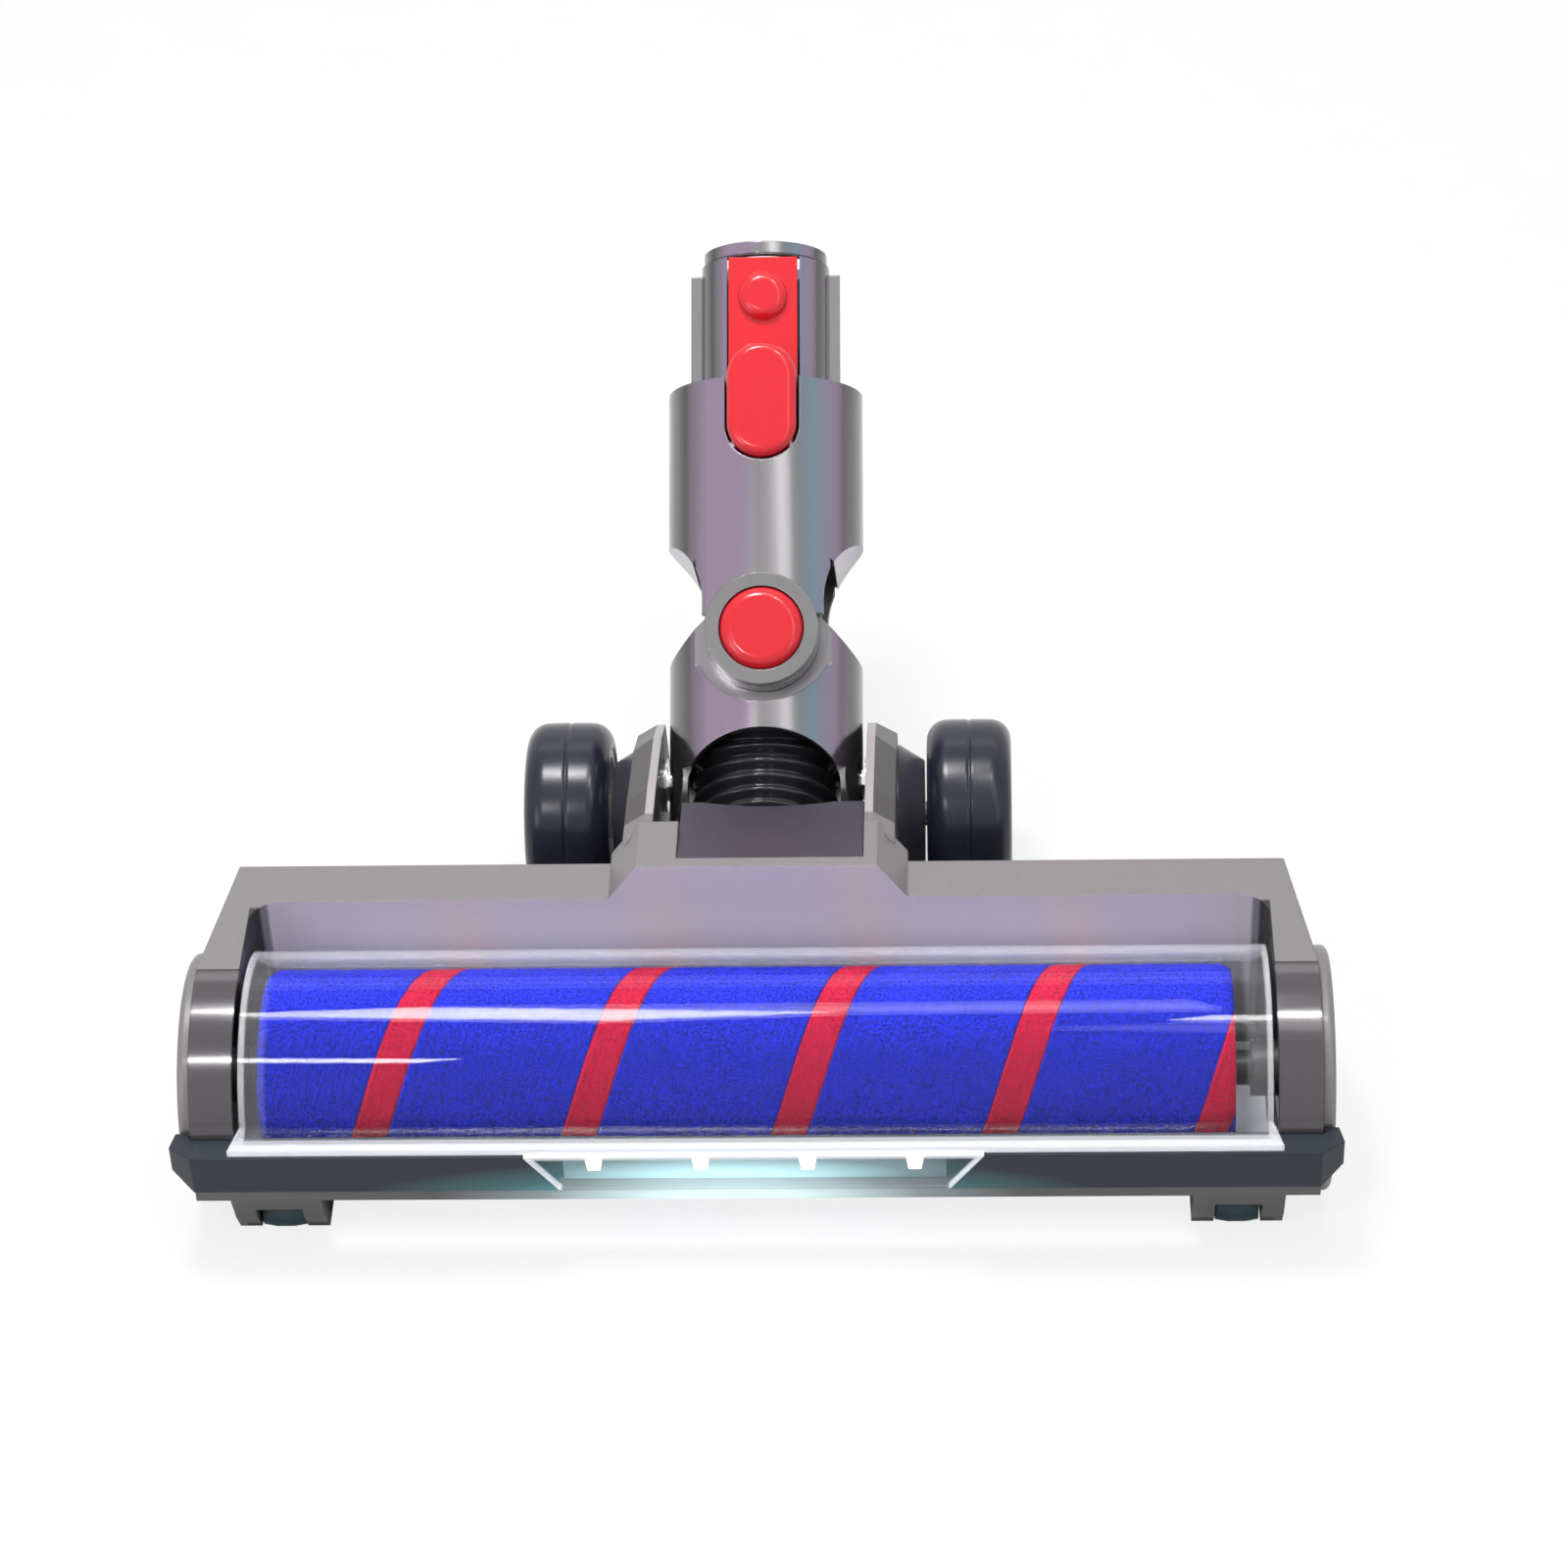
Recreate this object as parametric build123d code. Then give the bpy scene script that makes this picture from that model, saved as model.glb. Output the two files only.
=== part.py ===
from build123d import *
import math
import os

os.makedirs("parts", exist_ok=True)

# Powered vacuum floor head with a soft roller under a clear cover.
# X runs along the roller, Y towards the rear, Z up from the floor. Lengths are in mm.

# Clearances
PLAY = 0.06
FIT = 0.1
SEAT = 0.3

# Width
INNER_HALF = 117.0
END_WALL = 10.0
END_CAP = 3.0
SIDE_HALF = INNER_HALF + END_WALL
REAR_HALF = SIDE_HALF - 5.8

# Roller
ROLLER_R = 24.0
PILE = 4.0
CORE_R = ROLLER_R - PILE
CORE_BORE = CORE_R - 3.5
ROLLER_LEFT = 4.5 - INNER_HALF
ROLLER_RIGHT = INNER_HALF - 9.0
BAND_PITCH = 47.5
BAND_WIDTH = 8.0
BAND_PHASE = 94.0
AXIS_Z = ROLLER_R + SEAT
BOSS_R = 6.5
END_PIN_R = 4.0
DRIVE_X = ROLLER_LEFT + 78.5

# Clear cover
COVER_R = ROLLER_R + 4.3
COVER_WALL = 1.8
COVER_HALF = INNER_HALF - 1.0
COVER_CORNER = 7.0

# Housing
CHEEK_R = COVER_R + 1.7
END_R = CHEEK_R - 2.0
SEAM_Y = 3.0
WALL_Y = ROLLER_R + 2.0
ROOF_REAR_Y = WALL_Y + 12.4
REAR_Y = WALL_Y + 16.0
BASE_Z = 6.0
PART_Z = BASE_Z + 8.0
WALL = 3.0
HUMP_RISE = 9.7
HUMP_TOP = 27.7
HUMP_FOOT = HUMP_TOP + 6.8
ROOF_Z = AXIS_Z + CHEEK_R
HUMP_Z = ROOF_Z + HUMP_RISE
LIP_TOP = AXIS_Z + 11.6
PANEL_LEFT = 18.5
LOCK_R = 7.0
LOCK_Y = 15.0
LOCK_Z = AXIS_Z + 8.0

# Bumper and lamp
BUMPER_FRONT = -COVER_R - 7.0
BUMPER_BACK = BUMPER_FRONT + 6.7
BUMPER_TOP = AXIS_Z + 7.2
BUMPER_BOTTOM = BUMPER_TOP - 10.3
BUMPER_HALF = SIDE_HALF + 4.6
STRIP_BOTTOM = BUMPER_BOTTOM - 4.2
LENS_TOP_HALF = 51.5
LENS_FOOT_HALF = LENS_TOP_HALF - 7.5
LAMP_PITCH = 24.0
LAMP_COUNT = 4

# Front wheels
FOOT_X = INNER_HALF - 8.3
FOOT_WIDTH = 20.6
FOOT_GAP = FOOT_WIDTH - 10.0
FRONT_WHEEL_R = 4.5
FRONT_WHEEL_Y = BUMPER_FRONT + 12.0
FRONT_PIN_R = 1.0

# Rear wheels and yoke arms
WHEEL_R = 23.0
WHEEL_WIDTH = 20.5
RIM_R = WHEEL_R - 6.0
AXLE_R = 3.0
WHEEL_Y = REAR_Y + 50.2
KNUCKLE_R = 23.3
ARM_IN = KNUCKLE_R + 1.2
ARM_OUT = ARM_IN + 7.0
WHEEL_INNER_X = ARM_OUT + 7.0

# Neck
PIVOT_Y = WHEEL_Y - 11.0
PIVOT_Z = WHEEL_R + 19.0
PIVOT_R = 4.0
LEAN = 49.3
KNUCKLE_BORE = KNUCKLE_R - 3.8
SWIVEL_Z = 33.2
SWIVEL_R = 5.0
HEAD_BORE = 12.5
HEAD_FLAT = KNUCKLE_R - 6.7
HEAD_TOP = SWIVEL_Z + 10.8
SHOULDER_Z = SWIVEL_Z - 5.2
RING_R = 13.6
CAP_R = RING_R - 3.6
SLEEVE_R = KNUCKLE_R + 0.3
SLEEVE_BORE = SLEEVE_R - 5.6
SLEEVE_FLAT = HEAD_FLAT + 0.6
SLEEVE_TOP = SWIVEL_Z + 62.3
TUBE_R = 15.6
TUBE_BORE = TUBE_R - 2.2
TUBE_FOOT = HEAD_TOP + 18.0
TUBE_TOP = SLEEVE_TOP + 35.5
TIP_R = TUBE_R - 0.6
TIP_LENGTH = 3.3
TIP_RELIEF = 0.4
LATCH_HALF = 8.3
LATCH_PIVOT_Z = SLEEVE_TOP - 16.5
LATCH_PIVOT_Y = -TUBE_R - 4.0
PAD_FOOT = LATCH_PIVOT_Z - 3.6
PAD_LENGTH = 28.1
LATCH_PIN_R = 1.2
LATCH_PIN_END = LATCH_HALF + 2.2
RIB_OUT = TUBE_R + 2.6
CONTACT_Y = TUBE_BORE - 2.8

# Hose
HOSE_BORE = 13.6
HOSE_R = HOSE_BORE + 1.8
HOSE_RIB_R = HOSE_R + 2.2
HOSE_BEND = 60.0
HOSE_START_Y = REAR_Y + 4.0

nodes = {}


def yz_prism(points, x0, x1):
    """Extrude an outline drawn in Y and Z from x0 to x1."""
    outline = Plane.YZ * make_face(Polyline(*points, close=True))
    return Pos(x0, 0, 0) * extrude(outline, x1 - x0)


def xy_prism(points, z0, z1):
    """Extrude an outline drawn in X and Y from z0 to z1."""
    outline = make_face(Polyline(*points, close=True))
    return Pos(0, 0, z0) * extrude(outline, z1 - z0)


def xz_prism(points, y0, y1):
    """Extrude an outline drawn in X and Z from y0 to y1."""
    outline = Plane.XZ * make_face(Polyline(*points, close=True))
    return Pos(0, y1, 0) * extrude(outline, y1 - y0)


def span_box(x0, x1, y0, y1, z0, z1):
    """Box between two opposite corners."""
    middle = Pos((x0 + x1) / 2, (y0 + y1) / 2, (z0 + z1) / 2)
    return middle * Box(x1 - x0, y1 - y0, z1 - z0)


def rod_x(radius, x0, x1, y, z):
    """Cylinder along X."""
    return Pos((x0 + x1) / 2, y, z) * Rot(0, 90, 0) * Cylinder(radius, x1 - x0)


def rod_y(radius, y0, y1, x, z):
    """Cylinder along Y."""
    return Pos(x, (y0 + y1) / 2, z) * Rot(90, 0, 0) * Cylinder(radius, y1 - y0)


def rod_z(radius, z0, z1, x=0.0, y=0.0):
    """Cylinder along Z."""
    return Pos(x, y, (z0 + z1) / 2) * Cylinder(radius, z1 - z0)


def cone_x(r0, r1, x0, x1, y, z):
    """Cone along X, radius r0 at x0 and r1 at x1."""
    return Pos((x0 + x1) / 2, y, z) * Rot(0, 90, 0) * Cone(r0, r1, x1 - x0)


def pair(shape):
    """The shape and its mirror image across the middle plane."""
    return [shape, mirror(shape, about=Plane.YZ)]


def put(name, shape):
    """Keep one or more solids under a node name."""
    nodes[name] = shape if isinstance(shape, list) else [shape]


def put_sides(name, right_shape):
    """Keep a right-hand shape and its left-hand mirror as two nodes."""
    put("right_" + name, right_shape)
    put("left_" + name, mirror(right_shape, about=Plane.YZ))


def helical_sector(start_deg, span_deg):
    """Sector of the pile ring, twisted along the roller into a helical band."""
    length = ROLLER_RIGHT - ROLLER_LEFT
    turn = -360.0 * length / BAND_PITCH
    inner = CORE_R + FIT
    steps = (0.0, 0.5, 1.0)
    angles = [math.radians(start_deg + span_deg * s) for s in steps]
    near = [(inner * math.cos(a), inner * math.sin(a)) for a in angles]
    far = [(ROLLER_R * math.cos(a), ROLLER_R * math.sin(a)) for a in angles]
    edges = [
        ThreePointArc(*near),
        Line(near[2], far[2]),
        ThreePointArc(far[2], far[1], far[0]),
        Line(far[0], near[0]),
    ]
    section = make_face(edges).face()
    twisted = Solid.extrude_linear_with_rotation(section, (0, 0, 0), (0, 0, length), turn)
    return Pos(ROLLER_LEFT, 0, AXIS_Z) * Rot(0, 90, 0) * twisted


def make_roller():
    """Core tube, blue pile, red helical band and both hubs."""
    core = rod_x(CORE_R, ROLLER_LEFT, ROLLER_RIGHT, 0, AXIS_Z)
    core -= rod_x(CORE_BORE, ROLLER_LEFT - 1, ROLLER_RIGHT + 1, 0, AXIS_Z)
    put("roller_core", core)
    gap = 360.0 * FIT / (2 * math.pi * ROLLER_R)
    band = 360.0 * BAND_WIDTH / BAND_PITCH
    band_start = BAND_PHASE - band / 2
    put("roller_band", helical_sector(band_start, band))
    put("roller_pile", helical_sector(band_start + band + gap, 360 - band - 2 * gap))
    hub_r = CORE_BORE - FIT
    bearing_hub = rod_x(hub_r, ROLLER_RIGHT - 10, ROLLER_RIGHT, 0, AXIS_Z)
    bearing_hub -= rod_x(END_PIN_R + PLAY, ROLLER_RIGHT - 11, ROLLER_RIGHT + 1, 0, AXIS_Z)
    put("roller_bearing_hub", bearing_hub)
    socket = Plane.YZ * Pos(0, AXIS_Z) * RegularPolygon(6.0 + FIT, 6)
    drive_hub = rod_x(hub_r, DRIVE_X, DRIVE_X + 9, 0, AXIS_Z)
    drive_hub -= Pos(DRIVE_X - 1, 0, 0) * extrude(socket, 11)
    put("roller_drive_hub", drive_hub)
    dog = Plane.YZ * Pos(0, AXIS_Z) * RegularPolygon(6.0, 6)
    drive_dog = Pos(DRIVE_X + 1, 0, 0) * extrude(dog, 7)
    put("drive_dog", drive_dog + rod_x(3, DRIVE_X - 10, DRIVE_X + 1, 0, AXIS_Z))


def make_drive():
    """End plates, motor, gearbox, roller bearings and the turn lock."""
    reach = SIDE_HALF + 2 * END_CAP
    ends = span_box(-reach, reach, BUMPER_BACK + 1.8, REAR_Y, BASE_Z - 1, ROOF_Z)
    ends -= xy_prism(side_outline(FIT), 0, ROOF_Z + 1)
    inner_end = SIDE_HALF - 0.6 * END_WALL
    boss_end = ROLLER_LEFT + 7.5
    left = rod_x(END_R, -SIDE_HALF - END_CAP, -inner_end, 0, AXIS_Z)
    left = fillet(left.edges().filter_by(GeomType.CIRCLE).group_by(Axis.X)[0], END_CAP / 2) & ends
    left += rod_x(BOSS_R, -SIDE_HALF - 1, boss_end, 0, AXIS_Z)
    put("left_end_plate", left)
    bearing = rod_x(CORE_BORE - PLAY, ROLLER_LEFT + 1, boss_end - 1, 0, AXIS_Z)
    put("left_roller_bearing", bearing - rod_x(BOSS_R + PLAY, ROLLER_LEFT, boss_end, 0, AXIS_Z))
    box_start = DRIVE_X - 26
    put("roller_motor", rod_x(CORE_BORE - 3.5, boss_end, box_start, 0, AXIS_Z))
    gearbox = rod_x(CORE_BORE - 2.5, box_start, DRIVE_X - 2, 0, AXIS_Z)
    put("roller_gearbox", gearbox - rod_x(3 + PLAY, DRIVE_X - 11, DRIVE_X - 1, 0, AXIS_Z))
    right = rod_x(END_R, inner_end, SIDE_HALF + END_CAP, 0, AXIS_Z)
    right = fillet(right.edges().filter_by(GeomType.CIRCLE).group_by(Axis.X)[-1], END_CAP / 2) & ends
    right += rod_x(BOSS_R, ROLLER_RIGHT + 4.5, SIDE_HALF + 1, 0, AXIS_Z)
    right += rod_x(END_PIN_R, ROLLER_RIGHT - 8, INNER_HALF, 0, AXIS_Z)
    right -= rod_x(LOCK_R + 0.3, SIDE_HALF + 1.2, reach, LOCK_Y, LOCK_Z)
    right -= rod_x(2 + PLAY, INNER_HALF + 1, SIDE_HALF + 2, LOCK_Y, LOCK_Z)
    put("right_end_cap", right)
    lock = rod_x(LOCK_R, SIDE_HALF + 1.4, SIDE_HALF + END_CAP, LOCK_Y, LOCK_Z)
    slot_half = LOCK_R - 1.5
    slot = span_box(SIDE_HALF + 2.2, reach, -slot_half, slot_half, -0.9, 0.9)
    lock -= Pos(0, LOCK_Y, LOCK_Z) * slot
    lock += rod_x(2, SIDE_HALF - 2.5, SIDE_HALF + 1.5, LOCK_Y, LOCK_Z)
    put("turn_lock", lock)


def side_outline(grow):
    """Plan of the housing: straight beside the roller, tapered towards the rear."""
    half = [
        (SIDE_HALF + grow, 2 * BUMPER_FRONT),
        (SIDE_HALF + grow, SEAM_Y),
        (REAR_HALF + grow, ROOF_REAR_Y),
        (REAR_HALF - 0.8 + grow, REAR_Y),
    ]
    return half + [(-x, y) for x, y in reversed(half)]


def make_upper_housing():
    """Roof, rear box, pocket for the cover, hump and both yoke arms."""
    section = [
        (SEAM_Y, PART_Z),
        (SEAM_Y, ROOF_Z),
        (ROOF_REAR_Y, ROOF_Z),
        (REAR_Y, ROOF_Z - 6),
        (REAR_Y, PART_Z),
    ]
    body = yz_prism(section, -SIDE_HALF, SIDE_HALF)
    body &= xy_prism(side_outline(0), 0, ROOF_Z + 1)
    pocket = span_box(-INNER_HALF, INNER_HALF, -ROLLER_R, WALL_Y, 0, ROOF_Z + 1)
    corners = pocket.edges().filter_by(Axis.Z).group_by(Axis.Y)[-1]
    body -= fillet(corners, COVER_CORNER)
    lip_half = COVER_HALF - COVER_CORNER - 2
    body += span_box(-lip_half, lip_half, WALL_Y - 1.7, WALL_Y + 1, LIP_TOP - 2.1, LIP_TOP)
    bay_half = INNER_HALF - 5
    body -= span_box(-bay_half, bay_half, WALL_Y + WALL, REAR_Y - WALL, PART_Z - 1, ROOF_Z - WALL)
    body -= span_box(-ARM_OUT, ARM_OUT, WALL_Y - WALL, WALL_Y + WALL + 1, PART_Z + 2, LIP_TOP - 3.9)
    rise = [(-HUMP_FOOT, ROOF_Z), (-HUMP_TOP, HUMP_Z), (HUMP_TOP, HUMP_Z), (HUMP_FOOT, ROOF_Z)]
    hump = xz_prism(rise, WALL_Y, REAR_Y)
    hump -= span_box(-PANEL_LEFT, ARM_IN, WALL_Y + WALL, REAR_Y + 1, ROOF_Z, HUMP_Z + 1)
    body += hump
    arm_line = [
        (REAR_Y - WALL + 0.5, AXIS_Z + 5.7),
        (REAR_Y - WALL + 0.5, HUMP_Z),
        (REAR_Y + 14, HUMP_Z - 1.8),
        (PIVOT_Y, PIVOT_Z + 15),
        (PIVOT_Y + 12, PIVOT_Z + 9),
        (PIVOT_Y + 15.5, PIVOT_Z),
        (WHEEL_Y + 10, WHEEL_R + 2),
        (WHEEL_Y + 5, WHEEL_R - 9.5),
        (WHEEL_Y - 7, WHEEL_R - 9.5),
        (REAR_Y + 18, WHEEL_R - 1),
        (REAR_Y - 2, WHEEL_R - 1),
    ]
    arm = yz_prism(arm_line, ARM_IN, ARM_OUT)
    outer = arm.edges().filter_by(lambda e: e.center().X > ARM_OUT - 0.1)
    arm = chamfer(outer.filter_by(lambda e: e.center().Z > PIVOT_Z + 9), 5.0, 3.6)
    for side in pair(arm):
        body += side
    body -= rod_x(PIVOT_R + FIT, -ARM_OUT - 1, ARM_OUT + 1, PIVOT_Y, PIVOT_Z)
    body -= rod_x(AXLE_R + FIT, -ARM_OUT - 1, ARM_OUT + 1, WHEEL_Y, WHEEL_R)
    outlet_z = hose_start_z()
    body += rod_y(HOSE_BORE - FIT, REAR_Y - WALL, HOSE_START_Y + 8, 0, outlet_z)
    body -= rod_y(HOSE_BORE - 2.2, REAR_Y - WALL - 1, HOSE_START_Y + 9, 0, outlet_z)
    body -= bearing_bores()
    for x, y in screw_places():
        body -= rod_z(1.4 + FIT, PART_Z - 1, PART_Z + 10.5, x, y)
    put("upper_housing", body)


def bearing_bores():
    """Holes in both end walls for the roller's end bosses."""
    bore = rod_x(BOSS_R + FIT, INNER_HALF - 1, SIDE_HALF + 1, 0, AXIS_Z)
    bore += rod_x(2.5, SIDE_HALF - 4, SIDE_HALF + 1, LOCK_Y, LOCK_Z)
    return bore + rod_x(BOSS_R + FIT, -SIDE_HALF - 1, 1 - INNER_HALF, 0, AXIS_Z)


def screw_places():
    """Positions of the base screws."""
    return [(side * (INNER_HALF + 2.6), y) for side in (-1, 1) for y in (10.0, 22.0, REAR_Y - 8)]


def make_cheeks():
    """Curved front corners of the housing, one at each end."""
    disc = Plane.YZ * Pos(0, AXIS_Z) * Circle(CHEEK_R)
    cheek = Pos(INNER_HALF, 0, 0) * extrude(disc, SIDE_HALF - INNER_HALF)
    cheek &= span_box(0, SIDE_HALF, -CHEEK_R, SEAM_Y - FIT, BUMPER_TOP + FIT, ROOF_Z)
    put_sides("cheek", cheek)


def make_base():
    """Base plate: rear floor, side rails, front strip and the brackets for the front wheels."""
    rail_line = [
        (BUMPER_FRONT + 1.5, STRIP_BOTTOM),
        (BUMPER_FRONT + 19.3, BASE_Z),
        (REAR_Y, BASE_Z),
        (REAR_Y, PART_Z - FIT),
        (SEAM_Y - FIT, PART_Z - FIT),
        (SEAM_Y - FIT, BUMPER_TOP - FIT),
        (BUMPER_BACK + FIT, BUMPER_TOP - FIT),
        (BUMPER_BACK + FIT, BUMPER_BOTTOM - FIT),
        (BUMPER_FRONT + 1.5, BUMPER_BOTTOM - FIT),
    ]
    rail = yz_prism(rail_line, INNER_HALF, SIDE_HALF)
    rail &= xy_prism(side_outline(0), 0, ROOF_Z)
    trim_y = 2 * BUMPER_FRONT
    trim = [(SIDE_HALF - 3, trim_y), (SIDE_HALF, BUMPER_BACK - 0.4), (SIDE_HALF + 9, trim_y)]
    rail -= xy_prism(trim, 0, BUMPER_BOTTOM)
    base = span_box(-INNER_HALF - 1, INNER_HALF + 1, WALL_Y, REAR_Y, BASE_Z + 2, PART_Z - FIT)
    for side in pair(rail):
        base += side
    strip_front = BUMPER_FRONT + 1.5
    strip_back = BUMPER_BACK - 0.4
    reach = INNER_HALF + 1
    base += span_box(-reach, reach, strip_front, strip_back, STRIP_BOTTOM, BUMPER_BOTTOM - FIT)
    leg_line = [
        (strip_front, STRIP_BOTTOM + 0.5),
        (strip_back, STRIP_BOTTOM + 0.5),
        (BUMPER_FRONT + 9.8, 2.7 * FRONT_WHEEL_R),
        (FRONT_WHEEL_Y + 2.3, 1.8 * FRONT_WHEEL_R),
        (FRONT_WHEEL_Y + 4, 2),
        (FRONT_WHEEL_Y - 3.7, 2),
        (BUMPER_FRONT + 4.8, 1.8 * FRONT_WHEEL_R),
    ]
    lug = yz_prism(leg_line, FOOT_X - FOOT_WIDTH / 2, FOOT_X + FOOT_WIDTH / 2)
    gap_top = 2.7 * FRONT_WHEEL_R
    lug -= span_box(FOOT_X - FOOT_GAP / 2, FOOT_X + FOOT_GAP / 2, BUMPER_FRONT, 0, 0, gap_top)
    lug -= rod_x(FRONT_PIN_R + FIT, FOOT_X - FOOT_WIDTH, FOOT_X + FOOT_WIDTH, FRONT_WHEEL_Y, FRONT_WHEEL_R)
    for side in pair(lug):
        base += side
    base -= bearing_bores()
    for x, y in screw_places():
        base -= rod_z(1.4 + FIT, 0, PART_Z + 1, x, y)
        base -= rod_z(2.8 + FIT, 0, BASE_Z + 2.4, x, y)
    put("base_plate", base)
    screws = []
    for x, y in screw_places():
        head = rod_z(2.8, BASE_Z + 0.3, BASE_Z + 2.3, x, y)
        screws.append(head + rod_z(1.4, BASE_Z + 2, PART_Z + 10, x, y))
    put("base_screws", screws)


def make_bumper():
    """Front bumper with its lamp lens, lamp board and lamp chips."""
    tail_y = BUMPER_BACK + 1.6
    plan = [
        (0, BUMPER_FRONT),
        (BUMPER_HALF - 5.1, BUMPER_FRONT),
        (BUMPER_HALF, BUMPER_FRONT + 3.8),
        (BUMPER_HALF - 1, tail_y),
        (SIDE_HALF + 0.3, tail_y),
        (SIDE_HALF + 0.3, BUMPER_BACK),
        (0, BUMPER_BACK),
    ]
    half = xy_prism(plan, BUMPER_BOTTOM, BUMPER_TOP)
    face_line = [
        (0, BUMPER_BOTTOM),
        (BUMPER_HALF - 5, BUMPER_BOTTOM),
        (BUMPER_HALF, BUMPER_BOTTOM + 3.5),
        (BUMPER_HALF, BUMPER_TOP),
        (0, BUMPER_TOP),
    ]
    half &= xz_prism(face_line, 2 * BUMPER_FRONT, 0)
    bumper = half + mirror(half, about=Plane.YZ)
    lens_line = [
        (-LENS_TOP_HALF, BUMPER_TOP - 0.2),
        (-LENS_FOOT_HALF, BUMPER_BOTTOM + 0.2),
        (LENS_FOOT_HALF, BUMPER_BOTTOM + 0.2),
        (LENS_TOP_HALF, BUMPER_TOP - 0.2),
    ]
    slope = (LENS_TOP_HALF - LENS_FOOT_HALF) / (BUMPER_TOP - BUMPER_BOTTOM - 0.4)
    wide = LENS_TOP_HALF + 1.2 * slope + 0.2
    narrow = LENS_FOOT_HALF - 1.2 * slope + 0.2
    window = [
        (-wide, BUMPER_TOP + 1),
        (-narrow, BUMPER_BOTTOM - 1),
        (narrow, BUMPER_BOTTOM - 1),
        (wide, BUMPER_TOP + 1),
    ]
    bumper -= xz_prism(window, BUMPER_FRONT - 1, BUMPER_FRONT + 4.6)
    put("front_bumper", bumper)
    put("lamp_lens", xz_prism(lens_line, BUMPER_FRONT, BUMPER_FRONT + 1.9))
    board_y = BUMPER_FRONT + 3.4
    board_half = LENS_FOOT_HALF - 1
    board = span_box(-board_half, board_half, board_y, board_y + 1.1, BUMPER_BOTTOM + 0.6, BUMPER_TOP - 0.6)
    put("lamp_board", board)
    chips = []
    for i in range(LAMP_COUNT):
        x = (i - (LAMP_COUNT - 1) / 2) * LAMP_PITCH
        top = BUMPER_TOP - 3.3
        foot = BUMPER_BOTTOM + 4
        chip = [(x - 1.9, top), (x - 1.4, foot), (x + 1.4, foot), (x + 1.9, top)]
        chips.append(xz_prism(chip, BUMPER_FRONT + 2.5, BUMPER_FRONT + 3.3))
    put("lamp_chips", chips)


def make_cover():
    """Clear cover over the roller, with a front flange that lies on the bumper."""
    shell = rod_x(COVER_R, -COVER_HALF, COVER_HALF, 0, AXIS_Z)
    shell -= rod_x(COVER_R - COVER_WALL, -COVER_HALF - 1, COVER_HALF + 1, 0, AXIS_Z)
    plan = span_box(-COVER_HALF, COVER_HALF, -COVER_R, WALL_Y - SEAT, 0, ROOF_Z)
    plan = fillet(plan.edges().filter_by(Axis.Z).group_by(Axis.Y)[-1], COVER_CORNER)
    shell &= plan
    flange_z = BUMPER_TOP + FIT
    rear_z = LIP_TOP + FIT
    keep = span_box(-SIDE_HALF, SIDE_HALF, -COVER_R, 0, flange_z, ROOF_Z)
    keep += span_box(-SIDE_HALF, SIDE_HALF, 0, COVER_R, rear_z, ROOF_Z)
    shell &= keep
    inner_y = -math.sqrt((COVER_R - 0.6) ** 2 - (flange_z - AXIS_Z) ** 2)
    front_y = BUMPER_FRONT + 0.8
    wide = COVER_HALF + 2
    flange = [(-COVER_HALF, inner_y), (-wide, front_y), (wide, front_y), (COVER_HALF, inner_y)]
    shell += xy_prism(flange, flange_z, flange_z + 1.6)
    put("clear_cover", shell)


def make_panel():
    """Dark centre panel between the yoke arms, hollowed at the rear for the knuckle."""
    front_y = WALL_Y + WALL + FIT
    rear_y = REAR_Y + 12
    line = [(front_y, HUMP_Z), (front_y, HUMP_Z - 3), (rear_y, HUMP_Z - 8), (rear_y, HUMP_Z - 4.5)]
    panel = yz_prism(line, -PANEL_LEFT + FIT, ARM_IN - FIT)
    hollow_r = 60.0
    panel -= rod_z(hollow_r, 0, 2 * HUMP_Z, 2, rear_y + hollow_r - 2)
    put("centre_panel", panel)


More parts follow.
